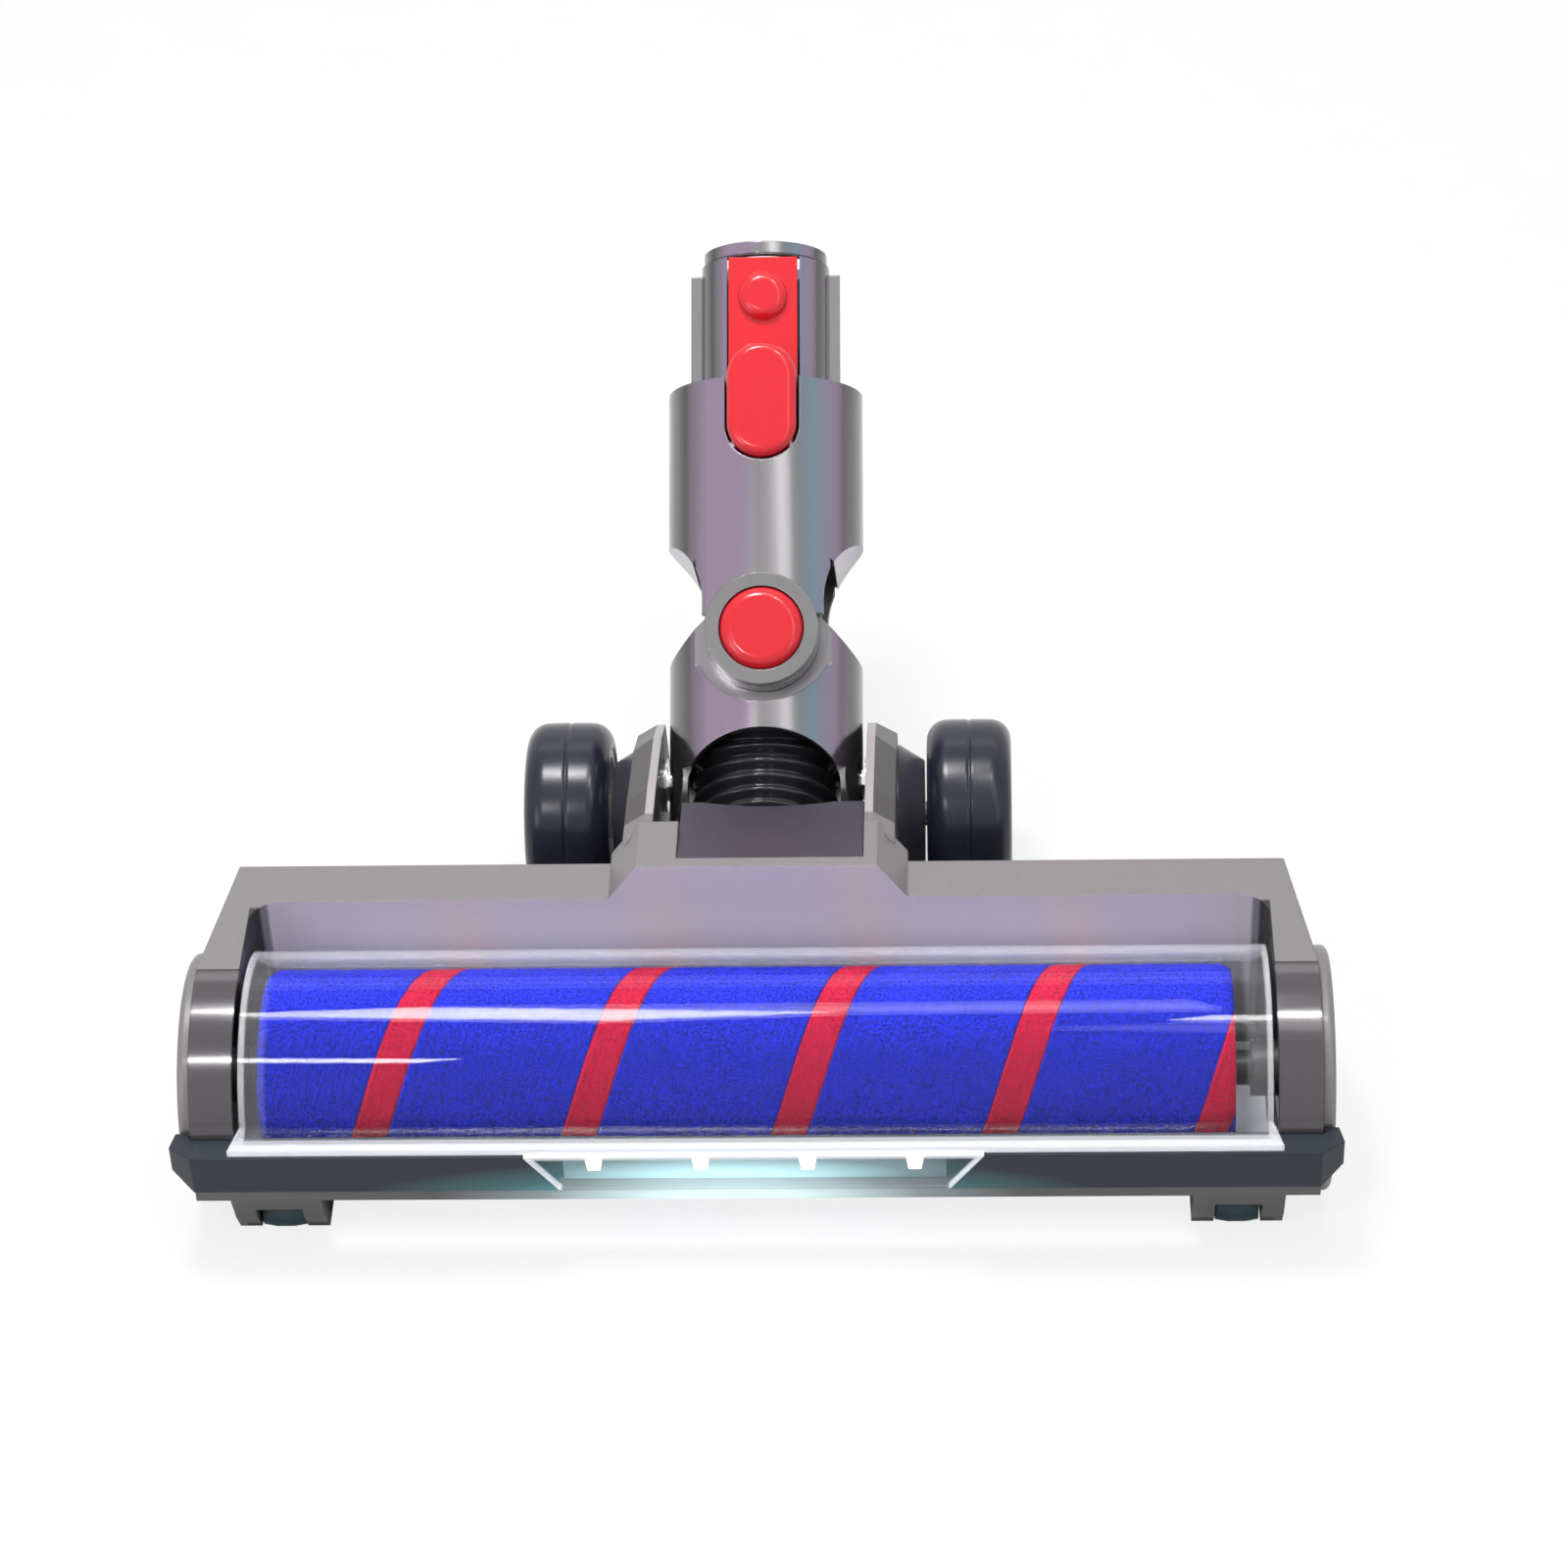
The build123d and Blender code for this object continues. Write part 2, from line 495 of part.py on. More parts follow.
def make_wheels():
    """Rear wheels with their axles and fairings, and the small front wheels."""
    outer_x = WHEEL_INNER_X + WHEEL_WIDTH
    tyre = rod_x(WHEEL_R, WHEEL_INNER_X, outer_x, WHEEL_Y, WHEEL_R)
    tyre = fillet(tyre.edges().filter_by(GeomType.CIRCLE), 4.0)
    tyre -= rod_x(RIM_R + FIT, WHEEL_INNER_X - 1, outer_x + 1, WHEEL_Y, WHEEL_R)
    put_sides("tyre", tyre)
    hub = rod_x(RIM_R, WHEEL_INNER_X + 0.5, outer_x - 1, WHEEL_Y, WHEEL_R)
    hub -= rod_x(RIM_R - 2.4, WHEEL_INNER_X, outer_x - 5, WHEEL_Y, WHEEL_R)
    hub -= rod_x(RIM_R - 2.4, outer_x - 2.5, outer_x, WHEEL_Y, WHEEL_R)
    spoke_gap = Plane.YZ * Pos(0.6 * RIM_R, 0) * Circle(0.2 * RIM_R)
    for i in range(6):
        hole = Rot(60 * i, 0, 0) * extrude(spoke_gap, 2 * WHEEL_WIDTH)
        hub -= Pos(WHEEL_INNER_X - 1, WHEEL_Y, WHEEL_R) * hole
    hub += rod_x(5.5, WHEEL_INNER_X, outer_x - 3, WHEEL_Y, WHEEL_R)
    hub -= rod_x(AXLE_R + PLAY, WHEEL_INNER_X - 1, outer_x + 1, WHEEL_Y, WHEEL_R)
    put_sides("wheel_hub", hub)
    axle = rod_x(AXLE_R, ARM_IN + 0.5, outer_x - 2.2, WHEEL_Y, WHEEL_R)
    axle += rod_x(4.6, outer_x - 2.5, outer_x - 1, WHEEL_Y, WHEEL_R)
    put_sides("axle", axle)
    fairing = cone_x(RIM_R, RIM_R - 4, ARM_OUT, WHEEL_INNER_X - 0.6, WHEEL_Y, WHEEL_R)
    fairing -= rod_x(AXLE_R + FIT, ARM_OUT - 1, WHEEL_INNER_X, WHEEL_Y, WHEEL_R)
    put_sides("axle_fairing", fairing)
    half_width = FOOT_GAP / 2 - 0.4
    roll_end = FRONT_WHEEL_R - 0.5
    roller = cone_x(FRONT_WHEEL_R, roll_end, FOOT_X + 2, FOOT_X + half_width, FRONT_WHEEL_Y, FRONT_WHEEL_R)
    roller += cone_x(roll_end, FRONT_WHEEL_R, FOOT_X - half_width, FOOT_X - 2, FRONT_WHEEL_Y, FRONT_WHEEL_R)
    roller += rod_x(FRONT_WHEEL_R, FOOT_X - 2, FOOT_X + 2, FRONT_WHEEL_Y, FRONT_WHEEL_R)
    roller -= rod_x(FRONT_PIN_R + PLAY, FOOT_X - 10, FOOT_X + 10, FRONT_WHEEL_Y, FRONT_WHEEL_R)
    put_sides("front_wheel", roller)
    pin = rod_x(FRONT_PIN_R, FOOT_X - 9, FOOT_X + 9, FRONT_WHEEL_Y, FRONT_WHEEL_R)
    put_sides("front_pin", pin)
    pivot = rod_x(PIVOT_R, KNUCKLE_BORE + 0.3, ARM_OUT - 0.3, PIVOT_Y, PIVOT_Z)
    pivot += rod_x(PIVOT_R + 2.5, KNUCKLE_R + 0.4, ARM_IN - FIT, PIVOT_Y, PIVOT_Z)
    put_sides("pivot_pin", pivot)


def hose_start_z():
    """Height of the hose outlet, so that the hose bends smoothly up into the neck."""
    rise = math.radians(90 - LEAN)
    end_z = PIVOT_Z + 12.5 * math.cos(math.radians(LEAN))
    return end_z - HOSE_BEND * (1 - math.cos(rise))


def make_hose():
    """Ribbed hose from the rear outlet up into the knuckle."""
    rise = math.radians(90 - LEAN)
    end_y = PIVOT_Y + 12.5 * math.sin(math.radians(LEAN))
    bend_y = end_y - HOSE_BEND * math.sin(rise)
    z0 = hose_start_z()
    knee = (0, bend_y, z0)

    def on_bend(angle):
        return (0, bend_y + HOSE_BEND * math.sin(angle), z0 + HOSE_BEND * (1 - math.cos(angle)))

    lead = Line((0, HOSE_START_Y, z0), knee).edge()
    bend = ThreePointArc(knee, on_bend(rise / 2), on_bend(rise)).edge()
    path = Wire([lead, bend])
    start = Plane(origin=(0, HOSE_START_Y, z0), z_dir=(0, 1, 0))
    hose = sweep(start * Circle(HOSE_R), path=path)
    straight = bend_y - HOSE_START_Y
    total = straight + HOSE_BEND * rise
    count = 9
    for i in range(count):
        s = total * (i + 0.6) / (count + 0.2)
        angle = max(0.0, (s - straight) / HOSE_BEND)
        spot = on_bend(angle) if angle > 0 else (0, HOSE_START_Y + s, z0)
        rib = Cylinder(HOSE_RIB_R, 2.6)
        rib = chamfer(rib.edges(), 0.9)
        hose += Pos(*spot) * Rot(math.degrees(angle) - 90, 0, 0) * rib
    hose -= sweep(start * Circle(HOSE_BORE), path=path)
    put("hose", hose)


def neck(shape):
    """Lean an upright neck piece back about the pivot."""
    return Pos(0, PIVOT_Y, PIVOT_Z) * Rot(-LEAN, 0, 0) * shape


def make_knuckle():
    """Lower neck piece: pivot lobes, front arch, flat-sided head and pockets for the swivel tongues."""
    body = rod_z(KNUCKLE_R, -13, SHOULDER_Z)
    crown = [(-KNUCKLE_R, SHOULDER_Z - 0.5), (-KNUCKLE_R, SHOULDER_Z), (-14, 37.3), (-13, HEAD_TOP)]
    crown += [(-x, z) for x, z in reversed(crown)]
    body += rod_z(KNUCKLE_R, SHOULDER_Z - 0.5, HEAD_TOP) & xz_prism(crown, -40, 40)
    flats = span_box(-40, 40, HEAD_FLAT, 40, SHOULDER_Z - 2, 60) + rod_y(17, HEAD_FLAT, 40, 0, SWIVEL_Z)
    body -= flats
    body -= mirror(flats, about=Plane.XZ)
    body -= rod_z(KNUCKLE_BORE, -14, 13)
    body -= rod_z(HEAD_BORE, 12, HEAD_TOP + 1)
    arch = Plane.XZ * Pos(0, -2) * Ellipse(18.2, 12)
    body -= extrude(arch, 40)
    body -= span_box(-18.2, 18.2, -40, 0, -20, -2)
    body -= span_box(-40, 40, -40, 40, -20, 2) - rod_x(13, -40, 40, 0, 0)
    body -= rod_x(PIVOT_R + PLAY, -40, 40, 0, 0)
    body -= rod_y(SWIVEL_R + PLAY, -40, 40, 0, SWIVEL_Z)
    put("knuckle", neck(body))


def pad_outline(grow, length, y_back, depth):
    """Round-ended block in the shape of the latch pad, from y_back towards the front."""
    half = LATCH_HALF + grow
    oval = Pos(0, PAD_FOOT - grow + length / 2) * Rot(0, 0, 90) * SlotOverall(length, 2 * half)
    return Pos(0, y_back, 0) * extrude(Plane.XZ * oval, depth)


def make_sleeve():
    """Upper neck sleeve with front and rear tongues, swivel trim and pins."""
    shell = rod_z(SLEEVE_R, SWIVEL_Z - RING_R, SLEEVE_TOP)
    shell -= rod_z(SLEEVE_BORE, SWIVEL_Z + 20, SLEEVE_TOP - 3.5)
    shell -= rod_z(TUBE_R + FIT, SLEEVE_TOP - 15.5, SLEEVE_TOP + 1)
    shell -= span_box(-40, 40, -SLEEVE_FLAT, SLEEVE_FLAT, 0, SWIVEL_Z + 14)
    shell -= rod_y(24.6, -SLEEVE_FLAT, SLEEVE_FLAT, 0, SWIVEL_Z)
    outline = Pos(0, 79) * Rectangle(60, 82)
    for side in (-1, 1):
        outline -= Pos(side * 32.5, 42) * Circle(18)
        outline -= Pos(side * 32.5, 37) * Rectangle(36, 10)
    outline += Pos(0, SWIVEL_Z) * Circle(RING_R)
    shell &= Pos(0, 40, 0) * extrude(Plane.XZ * outline, 80)
    shell -= pad_outline(0.6, 60, 2.6 - TUBE_R, 27)
    seat = LATCH_PIN_END + 0.2
    shell -= rod_x(LATCH_PIN_R + FIT, -seat, seat, LATCH_PIVOT_Y, LATCH_PIVOT_Z)
    shell -= rod_y(SWIVEL_R + FIT, -40, 40, 0, SWIVEL_Z)
    put("neck_sleeve", neck(shell))
    ring = rod_y(RING_R - FIT, -26.6, -10, 0, SWIVEL_Z) - rod_y(CAP_R + FIT, -30, -8, 0, SWIVEL_Z)
    put("swivel_ring", neck(ring - rod_z(SLEEVE_R + FIT, 0, 80)))
    cap = rod_y(CAP_R, -28.2, -20, 0, SWIVEL_Z)
    cap = fillet(cap.edges().group_by(Axis.Y)[0], 3.0)
    put("swivel_cap", neck(cap - rod_z(SLEEVE_R + FIT, 0, 80)))
    pins = []
    for side in (-1, 1):
        ends = sorted((side * (HEAD_BORE + 0.8), side * (SLEEVE_R - 0.4)))
        pins.append(neck(rod_y(SWIVEL_R, ends[0], ends[1], 0, SWIVEL_Z)))
    put("swivel_pins", pins)


def make_inner_hose():
    """Short ribbed hose between the knuckle's head and the tube."""
    low = HEAD_TOP + FIT
    high = TUBE_FOOT - FIT
    hose = rod_z(12.4, low, high)
    count = 4
    for i in range(count):
        z = low + (high - low) * (i + 0.5) / count
        hose += rod_z(14.0, z - 1.2, z + 1.2)
    put("inner_hose", neck(hose - rod_z(10.6, low - 1, high + 1)))


def make_tube():
    """Male tube with side ribs, contact block and contact pins."""
    tip_foot = TUBE_TOP - TIP_LENGTH
    tube = rod_z(TUBE_R, TUBE_FOOT, tip_foot)
    tube += rod_z(TIP_R - 0.5, tip_foot, tip_foot + TIP_RELIEF)
    tube += rod_z(TIP_R, tip_foot + TIP_RELIEF, TUBE_TOP)
    for side in (-1, 1):
        edge = sorted((side * (TUBE_R - 1), side * RIB_OUT))
        tube += span_box(edge[0], edge[1], -1.2, 1.2, SLEEVE_TOP + FIT, TUBE_TOP - 5)
    tube -= rod_z(TUBE_BORE, TUBE_FOOT - 1, TUBE_TOP + 1)
    slot_top = tip_foot - 0.1
    tube -= span_box(-LATCH_HALF - 0.5, LATCH_HALF + 0.5, -40, -6, LATCH_PIVOT_Z - 1, slot_top)
    put("neck_tube", neck(tube))
    block = span_box(-6, 6, TUBE_BORE - 5, TUBE_R, TUBE_TOP - 14, TUBE_TOP - 2)
    block &= rod_z(TUBE_BORE - FIT, TUBE_FOOT, TUBE_TOP)
    contacts = []
    for side in (-1, 1):
        block -= rod_z(0.9 + FIT, TUBE_TOP - 10, TUBE_TOP, side * 3, CONTACT_Y)
        contacts.append(neck(rod_z(0.9, TUBE_TOP - 9.9, TUBE_TOP - 0.5, side * 3, CONTACT_Y)))
    put("contact_block", neck(block))
    put("contact_pins", contacts)


def make_latch():
    """Red wand latch with its hinge pin."""
    root = LATCH_PIVOT_Z + 10
    strip = span_box(-LATCH_HALF, LATCH_HALF, 0.1 - TUBE_R, -TUBE_BORE, root, TUBE_TOP - 4.2)
    pad = pad_outline(0, PAD_LENGTH, -TUBE_R - 1.4, 8.6)
    pad = fillet(pad.edges().group_by(Axis.Y)[0], 2.2)
    web_top = PAD_FOOT + PAD_LENGTH - 3
    web = span_box(2 - LATCH_HALF, LATCH_HALF - 2, -TUBE_R - 1.9, 1.6 - TUBE_R, root, web_top)
    bump = rod_y(5.9, -TUBE_R - 2.8, 1.1 - TUBE_R, 0, TUBE_TOP - 14)
    bump = fillet(bump.edges().group_by(Axis.Y)[0], 2.4)
    latch = strip + pad + web + bump
    latch -= rod_x(LATCH_PIN_R + PLAY, -20, 20, LATCH_PIVOT_Y, LATCH_PIVOT_Z)
    put("latch", neck(latch))
    pin = rod_x(LATCH_PIN_R, -LATCH_PIN_END, LATCH_PIN_END, LATCH_PIVOT_Y, LATCH_PIVOT_Z)
    put("latch_pin", neck(pin))


make_roller()
make_drive()
make_upper_housing()
make_cheeks()
make_base()
make_bumper()
make_cover()
make_panel()
make_wheels()
make_hose()
make_knuckle()
make_sleeve()
make_inner_hose()
make_tube()
make_latch()

# The origin goes to the middle of the footprint, on the floor.
boxes = [shape.bounding_box() for group in nodes.values() for shape in group]
front = min(box.min.Y for box in boxes)
rear = max(box.max.Y for box in boxes)
floor = min(box.min.Z for box in boxes)
CENTRE = Pos(0, -(front + rear) / 2, -floor)
for name, group in nodes.items():
    placed = [CENTRE * shape for shape in group]
    whole = placed[0] if len(placed) == 1 else Compound(placed)
    export_step(whole, f"parts/{name}.step")
print("moved by", CENTRE.position.Y, CENTRE.position.Z)
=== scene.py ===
"""Looks of a powered vacuum floor head with a soft roller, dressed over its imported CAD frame."""

import logging
import math
from dataclasses import dataclass
from enum import Enum

import bpy
import numpy as np
from mathutils import Matrix, Vector


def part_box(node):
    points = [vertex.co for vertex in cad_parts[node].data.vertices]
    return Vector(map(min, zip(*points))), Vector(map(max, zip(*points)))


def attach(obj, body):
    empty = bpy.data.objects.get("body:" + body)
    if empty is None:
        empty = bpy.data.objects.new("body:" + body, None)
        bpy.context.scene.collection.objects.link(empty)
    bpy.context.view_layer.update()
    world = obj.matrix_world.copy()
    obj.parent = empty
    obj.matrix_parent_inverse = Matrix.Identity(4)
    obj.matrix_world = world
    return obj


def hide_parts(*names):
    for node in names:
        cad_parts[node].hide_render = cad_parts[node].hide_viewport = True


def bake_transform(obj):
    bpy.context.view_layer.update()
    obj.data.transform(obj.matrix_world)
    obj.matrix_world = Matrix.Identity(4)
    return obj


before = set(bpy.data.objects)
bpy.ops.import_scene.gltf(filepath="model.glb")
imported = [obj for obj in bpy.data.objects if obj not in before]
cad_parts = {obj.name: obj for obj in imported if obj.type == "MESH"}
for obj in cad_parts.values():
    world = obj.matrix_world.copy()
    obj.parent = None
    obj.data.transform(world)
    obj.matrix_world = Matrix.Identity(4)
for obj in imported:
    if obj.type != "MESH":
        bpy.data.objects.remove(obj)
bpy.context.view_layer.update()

MM = 0.001
ROLLER_Y = sum(corner.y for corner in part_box("roller_core")) / 2 / MM
LOG = logging.getLogger("floor_head")

Colour = tuple[float, float, float]
Point = tuple[float, float, float]
Socket = bpy.types.NodeSocket

WHITE = (1.0, 1.0, 1.0)
COOL = (0.97, 0.97, 1.0)

# Directions, with X counted away from the middle plane on both sides.
OUTWARDS = (1.0, 0.0, 0.0)
INWARDS = (-1.0, 0.0, 0.0)
REARWARDS = (0.0, 1.0, 0.0)
FORWARDS = (0.0, -1.0, 0.0)
UPWARDS = (0.0, 0.0, 1.0)

# Places in mm. Depths count from the roller's axis towards the rear.
CHAMBER_HALF = 117.2
CHAMBER_FRONT = -28.4
CHAMBER_REAR = 23.5
RECESS_HALF = 113.0
ARM_FRONT = 46.0
COVER_FLANGE = -31.4
COVER_REAR = 18.5
COVER_RIM = 115.2
COVER_END = 111.0
LENS_TOP = 31.1
LENS_FOOT = 21.4
LENS_HALF = 43.9
LENS_SLOPE = 7.5 / 9.9
LAMP_X = -6.0


class Side(Enum):
    """The two ends of the head, with the sign of X there."""

    LEFT = -1
    RIGHT = 1


class Measure(Enum):
    """What a region weighs, with its unit: places in mm, or the way that surfaces face."""

    PLACE = MM
    FACING = 1.0


class Tint(Enum):
    """Whether a metallic plastic carries painted reflection bands that follow the way its surface faces."""

    NONE = 0
    REFLECTION_BANDS = 1


class NodeSheet:
    """One material under construction: a node tree with a Principled shader and its output."""

    def __init__(self, name: str) -> None:
        """Start an empty material.

        Args:
            name: name of the material.
        """
        self.material = bpy.data.materials.new(name)
        self.material.use_nodes = True
        self.tree = self.material.node_tree
        self.tree.nodes.clear()
        self.output = self.add("ShaderNodeOutputMaterial")
        self.shader = self.add("ShaderNodeBsdfPrincipled")
        self.link(self.shader.outputs["BSDF"], self.output.inputs["Surface"])
        self.coords = self.add("ShaderNodeTexCoord")

    def add(self, kind: str, **settings: object) -> bpy.types.Node:
        """Add a node.

        Args:
            kind: Blender's name of the node type.
            settings: properties to set on the node.

        Returns:
            The new node.
        """
        made = self.tree.nodes.new(kind)
        for key, value in settings.items():
            setattr(made, key, value)
        return made

    def link(self, source: Socket, target: Socket) -> None:
        """Join two sockets."""
        self.tree.links.new(source, target)

    def set(self, **values: object) -> None:
        """Set constant sockets of the shader; underscores in the keys stand for spaces."""
        for key, value in values.items():
            self.shader.inputs[key.replace("_", " ")].default_value = value

    def noise(self, scale: float, detail: float = 3.0, stretch: Point = (1.0, 1.0, 1.0)) -> Socket:
        """Noise on Object coordinates.

        Args:
            scale: cells per metre.
            detail: number of octaves.
            stretch: scale along each axis, for brushed or fibrous grain.

        Returns:
            The noise's value socket.
        """
        mapping = self.add("ShaderNodeMapping")
        mapping.inputs["Scale"].default_value = stretch
        self.link(self.coords.outputs["Object"], mapping.inputs["Vector"])
        texture = self.add("ShaderNodeTexNoise")
        texture.inputs["Scale"].default_value = scale
        texture.inputs["Detail"].default_value = detail
        self.link(mapping.outputs["Vector"], texture.inputs["Vector"])
        return texture.outputs["Fac"]

    def ramp(
        self, value: Socket, low: Colour, high: Colour, ends: tuple[float, float] = (0.3, 0.7)
    ) -> Socket:
        """Colour ramp between two colours.

        Args:
            value: socket that drives the ramp.
            low: colour at the ramp's lower end.
            high: colour at its upper end.
            ends: values at which the two colours are reached.

        Returns:
            The ramp's colour socket.
        """
        return self.bands(value, ((ends[0], low), (ends[1], high)))

    def bands(self, value: Socket, stops: tuple[tuple[float, Colour], ...]) -> Socket:
        """Colour ramp through several colours.

        Args:
            value: socket that drives the ramp, 0 to 1.
            stops: place and colour of each stop, in order.

        Returns:
            The ramp's colour socket.
        """
        made = self.add("ShaderNodeValToRGB")
        ramp = made.color_ramp
        for place, _ in stops[1:-1]:
            ramp.elements.new(place)
        for element, (place, colour) in zip(ramp.elements, stops):
            element.position = place
            element.color = (*colour, 1.0)
        self.link(value, made.inputs["Fac"])
        return made.outputs["Color"]

    def rounded(self, radius: float) -> Socket:
        """Shading direction of edges rounded by a radius in metres."""
        made = self.add("ShaderNodeBevel", samples=4)
        made.inputs["Radius"].default_value = radius
        return made.outputs["Normal"]

    def mix(self, share: Socket, first: Socket, second: Colour) -> Socket:
        """Mix a colour socket towards a fixed colour.

        Args:
            share: socket from 0, the first colour, to 1, the second.
            first: colour socket.
            second: fixed colour.

        Returns:
            The mixed colour socket.
        """
        mixer = self.add("ShaderNodeMix", data_type="RGBA")
        self.link(share, mixer.inputs["Factor"])
        self.link(first, mixer.inputs["A"])
        mixer.inputs["B"].default_value = (*second, 1.0)
        return mixer.outputs["Result"]

    def bump(self, height: Socket, strength: float, distance: float, base: Socket | None = None) -> None:
        """Raise the surface's shading by a height socket.

        Args:
            height: socket with the height, 0 to 1.
            strength: strength of the bump.
            distance: height in metres at a value of 1.
            base: shading direction to start from, where it isn't the surface's own.
        """
        made = self.add("ShaderNodeBump")
        made.inputs["Strength"].default_value = strength
        made.inputs["Distance"].default_value = distance
        self.link(height, made.inputs["Height"])
        if base is not None:
            self.link(base, made.inputs["Normal"])
        self.link(made.outputs["Normal"], self.shader.inputs["Normal"])

    def spread(self, value: Socket, low: float, high: float) -> Socket:
        """Map a 0 to 1 socket onto a range.

        Args:
            value: socket to map.
            low: result at 0.
            high: result at 1.

        Returns:
            The mapped socket.
        """
        mapped = self.add("ShaderNodeMapRange")
        mapped.inputs["To Min"].default_value = low
        mapped.inputs["To Max"].default_value = high
        self.link(value, mapped.inputs["Value"])
        return mapped.outputs["Result"]

    def facing(self, axis: str) -> Socket:
        """Part of the surface's own direction along one axis of the object.

        Args:
            axis: X, Y or Z.

        Returns:
            A socket from -1 to 1.
        """
        split = self.add("ShaderNodeSeparateXYZ")
        self.link(self.coords.outputs["Normal"], split.inputs["Vector"])
        return split.outputs[axis]

    def folded(self, measure: Measure) -> Socket:
        """Places or surface directions with the left half folded onto the right.

        Args:
            measure: which of the two.

        Returns:
            A vector socket, in metres for places.
        """
        source = self.coords.outputs["Object" if measure is Measure.PLACE else "Normal"]
        fold = self.add("ShaderNodeVectorMath", operation="ABSOLUTE")
        self.link(source, fold.inputs[0])
        width = self.add("ShaderNodeSeparateXYZ")
        self.link(fold.outputs["Vector"], width.inputs["Vector"])
        rest = self.add("ShaderNodeSeparateXYZ")
        self.link(source, rest.inputs["Vector"])
        spot = self.add("ShaderNodeCombineXYZ")
        self.link(width.outputs["X"], spot.inputs["X"])
        self.link(rest.outputs["Y"], spot.inputs["Y"])
        self.link(rest.outputs["Z"], spot.inputs["Z"])
        return spot.outputs["Vector"]

    def join(self, operation: str, *values: Socket) -> Socket:
        """Join sockets two by two with a maths operation.

        Args:
            operation: Blender's name of the operation.
            values: sockets to join.

        Returns:
            The joined socket.
        """
        joined = values[0]
        for value in values[1:]:
            step = self.add("ShaderNodeMath", operation=operation)
            self.link(joined, step.inputs[0])
            self.link(value, step.inputs[1])
            joined = step.outputs["Value"]
        return joined


def shade(colour: Colour, by: float) -> Colour:
    """Colour made lighter or darker.

    Args:
        colour: colour to change.
        by: factor.

    Returns:
        The changed colour, kept below 1.
    """
    return tuple(min(1.0, part * by) for part in colour)


@dataclass(frozen=True)
class Region:
    """Part of the head, the same at the left and the right.

    A point lies in it where the weighted sum of its distance from the middle plane, its Y and its
    Z, in mm, passes the limit, or where the sum for the direction of its surface does.
    """

    weights: Point
    limit: float
    share: float = 1.0
    soft: float = 0.8
    measure: Measure = Measure.PLACE

    def place(self, sheet: NodeSheet) -> Socket:
        """Share of the region at a point.

        Args:
            sheet: material under construction.

        Returns:
            A socket from 0 to the region's share.
        """
        total = sheet.add("ShaderNodeVectorMath", operation="DOT_PRODUCT")
        total.inputs[1].default_value = self.weights
        sheet.link(sheet.folded(self.measure), total.inputs[0])
        step = sheet.add("ShaderNodeMapRange", interpolation_type="SMOOTHSTEP")
        step.inputs["From Min"].default_value = (self.limit - self.soft) * self.measure.value
        step.inputs["From Max"].default_value = self.limit * self.measure.value
        step.inputs["To Max"].default_value = self.share
        sheet.link(total.outputs["Value"], step.inputs["Value"])
        return step.outputs["Result"]


@dataclass(frozen=True)
class Patch:
    """Painted shade or light on a moulding: a darker or lighter tone where all its regions meet."""

    regions: tuple[Region, ...]
    by: float

    def share(self, sheet: NodeSheet) -> Socket:
        """Share of the patch at a point.

        Args:
            sheet: material under construction.

        Returns:
            A socket from 0 to 1.
        """
        return sheet.join("MULTIPLY", *(region.place(sheet) for region in self.regions))


@dataclass(frozen=True)
class Spill:
    """Painted glow of the lamp's light, spilling onto the pieces around the lamp.

    It fades with the distance from its middle, measured over an ellipsoid. Lengths are in mm.
    """

    colour: Colour
    middle: Point
    reach: Point
    strength: float

    def light(self, sheet: NodeSheet) -> None:
        """Paint the glow into a material's emission.

        Args:
            sheet: material under construction.
        """
        sheet.set(Emission_Strength=self.strength)
        place = sheet.add("ShaderNodeMapping", vector_type="TEXTURE")
        place.inputs["Location"].default_value = tuple(v * MM for v in self.middle)
        place.inputs["Scale"].default_value = tuple(v * MM for v in self.reach)
        sheet.link(sheet.coords.outputs["Object"], place.inputs["Vector"])
        ball = sheet.add("ShaderNodeTexGradient", gradient_type="SPHERICAL")
        sheet.link(place.outputs["Vector"], ball.inputs["Vector"])
        stops = ((0.0, (0.0, 0.0, 0.0)), (0.35, shade(self.colour, 0.2)), (0.8, self.colour))
        glow = sheet.bands(ball.outputs["Fac"], stops)
        sheet.link(glow, sheet.shader.inputs["Emission Color"])


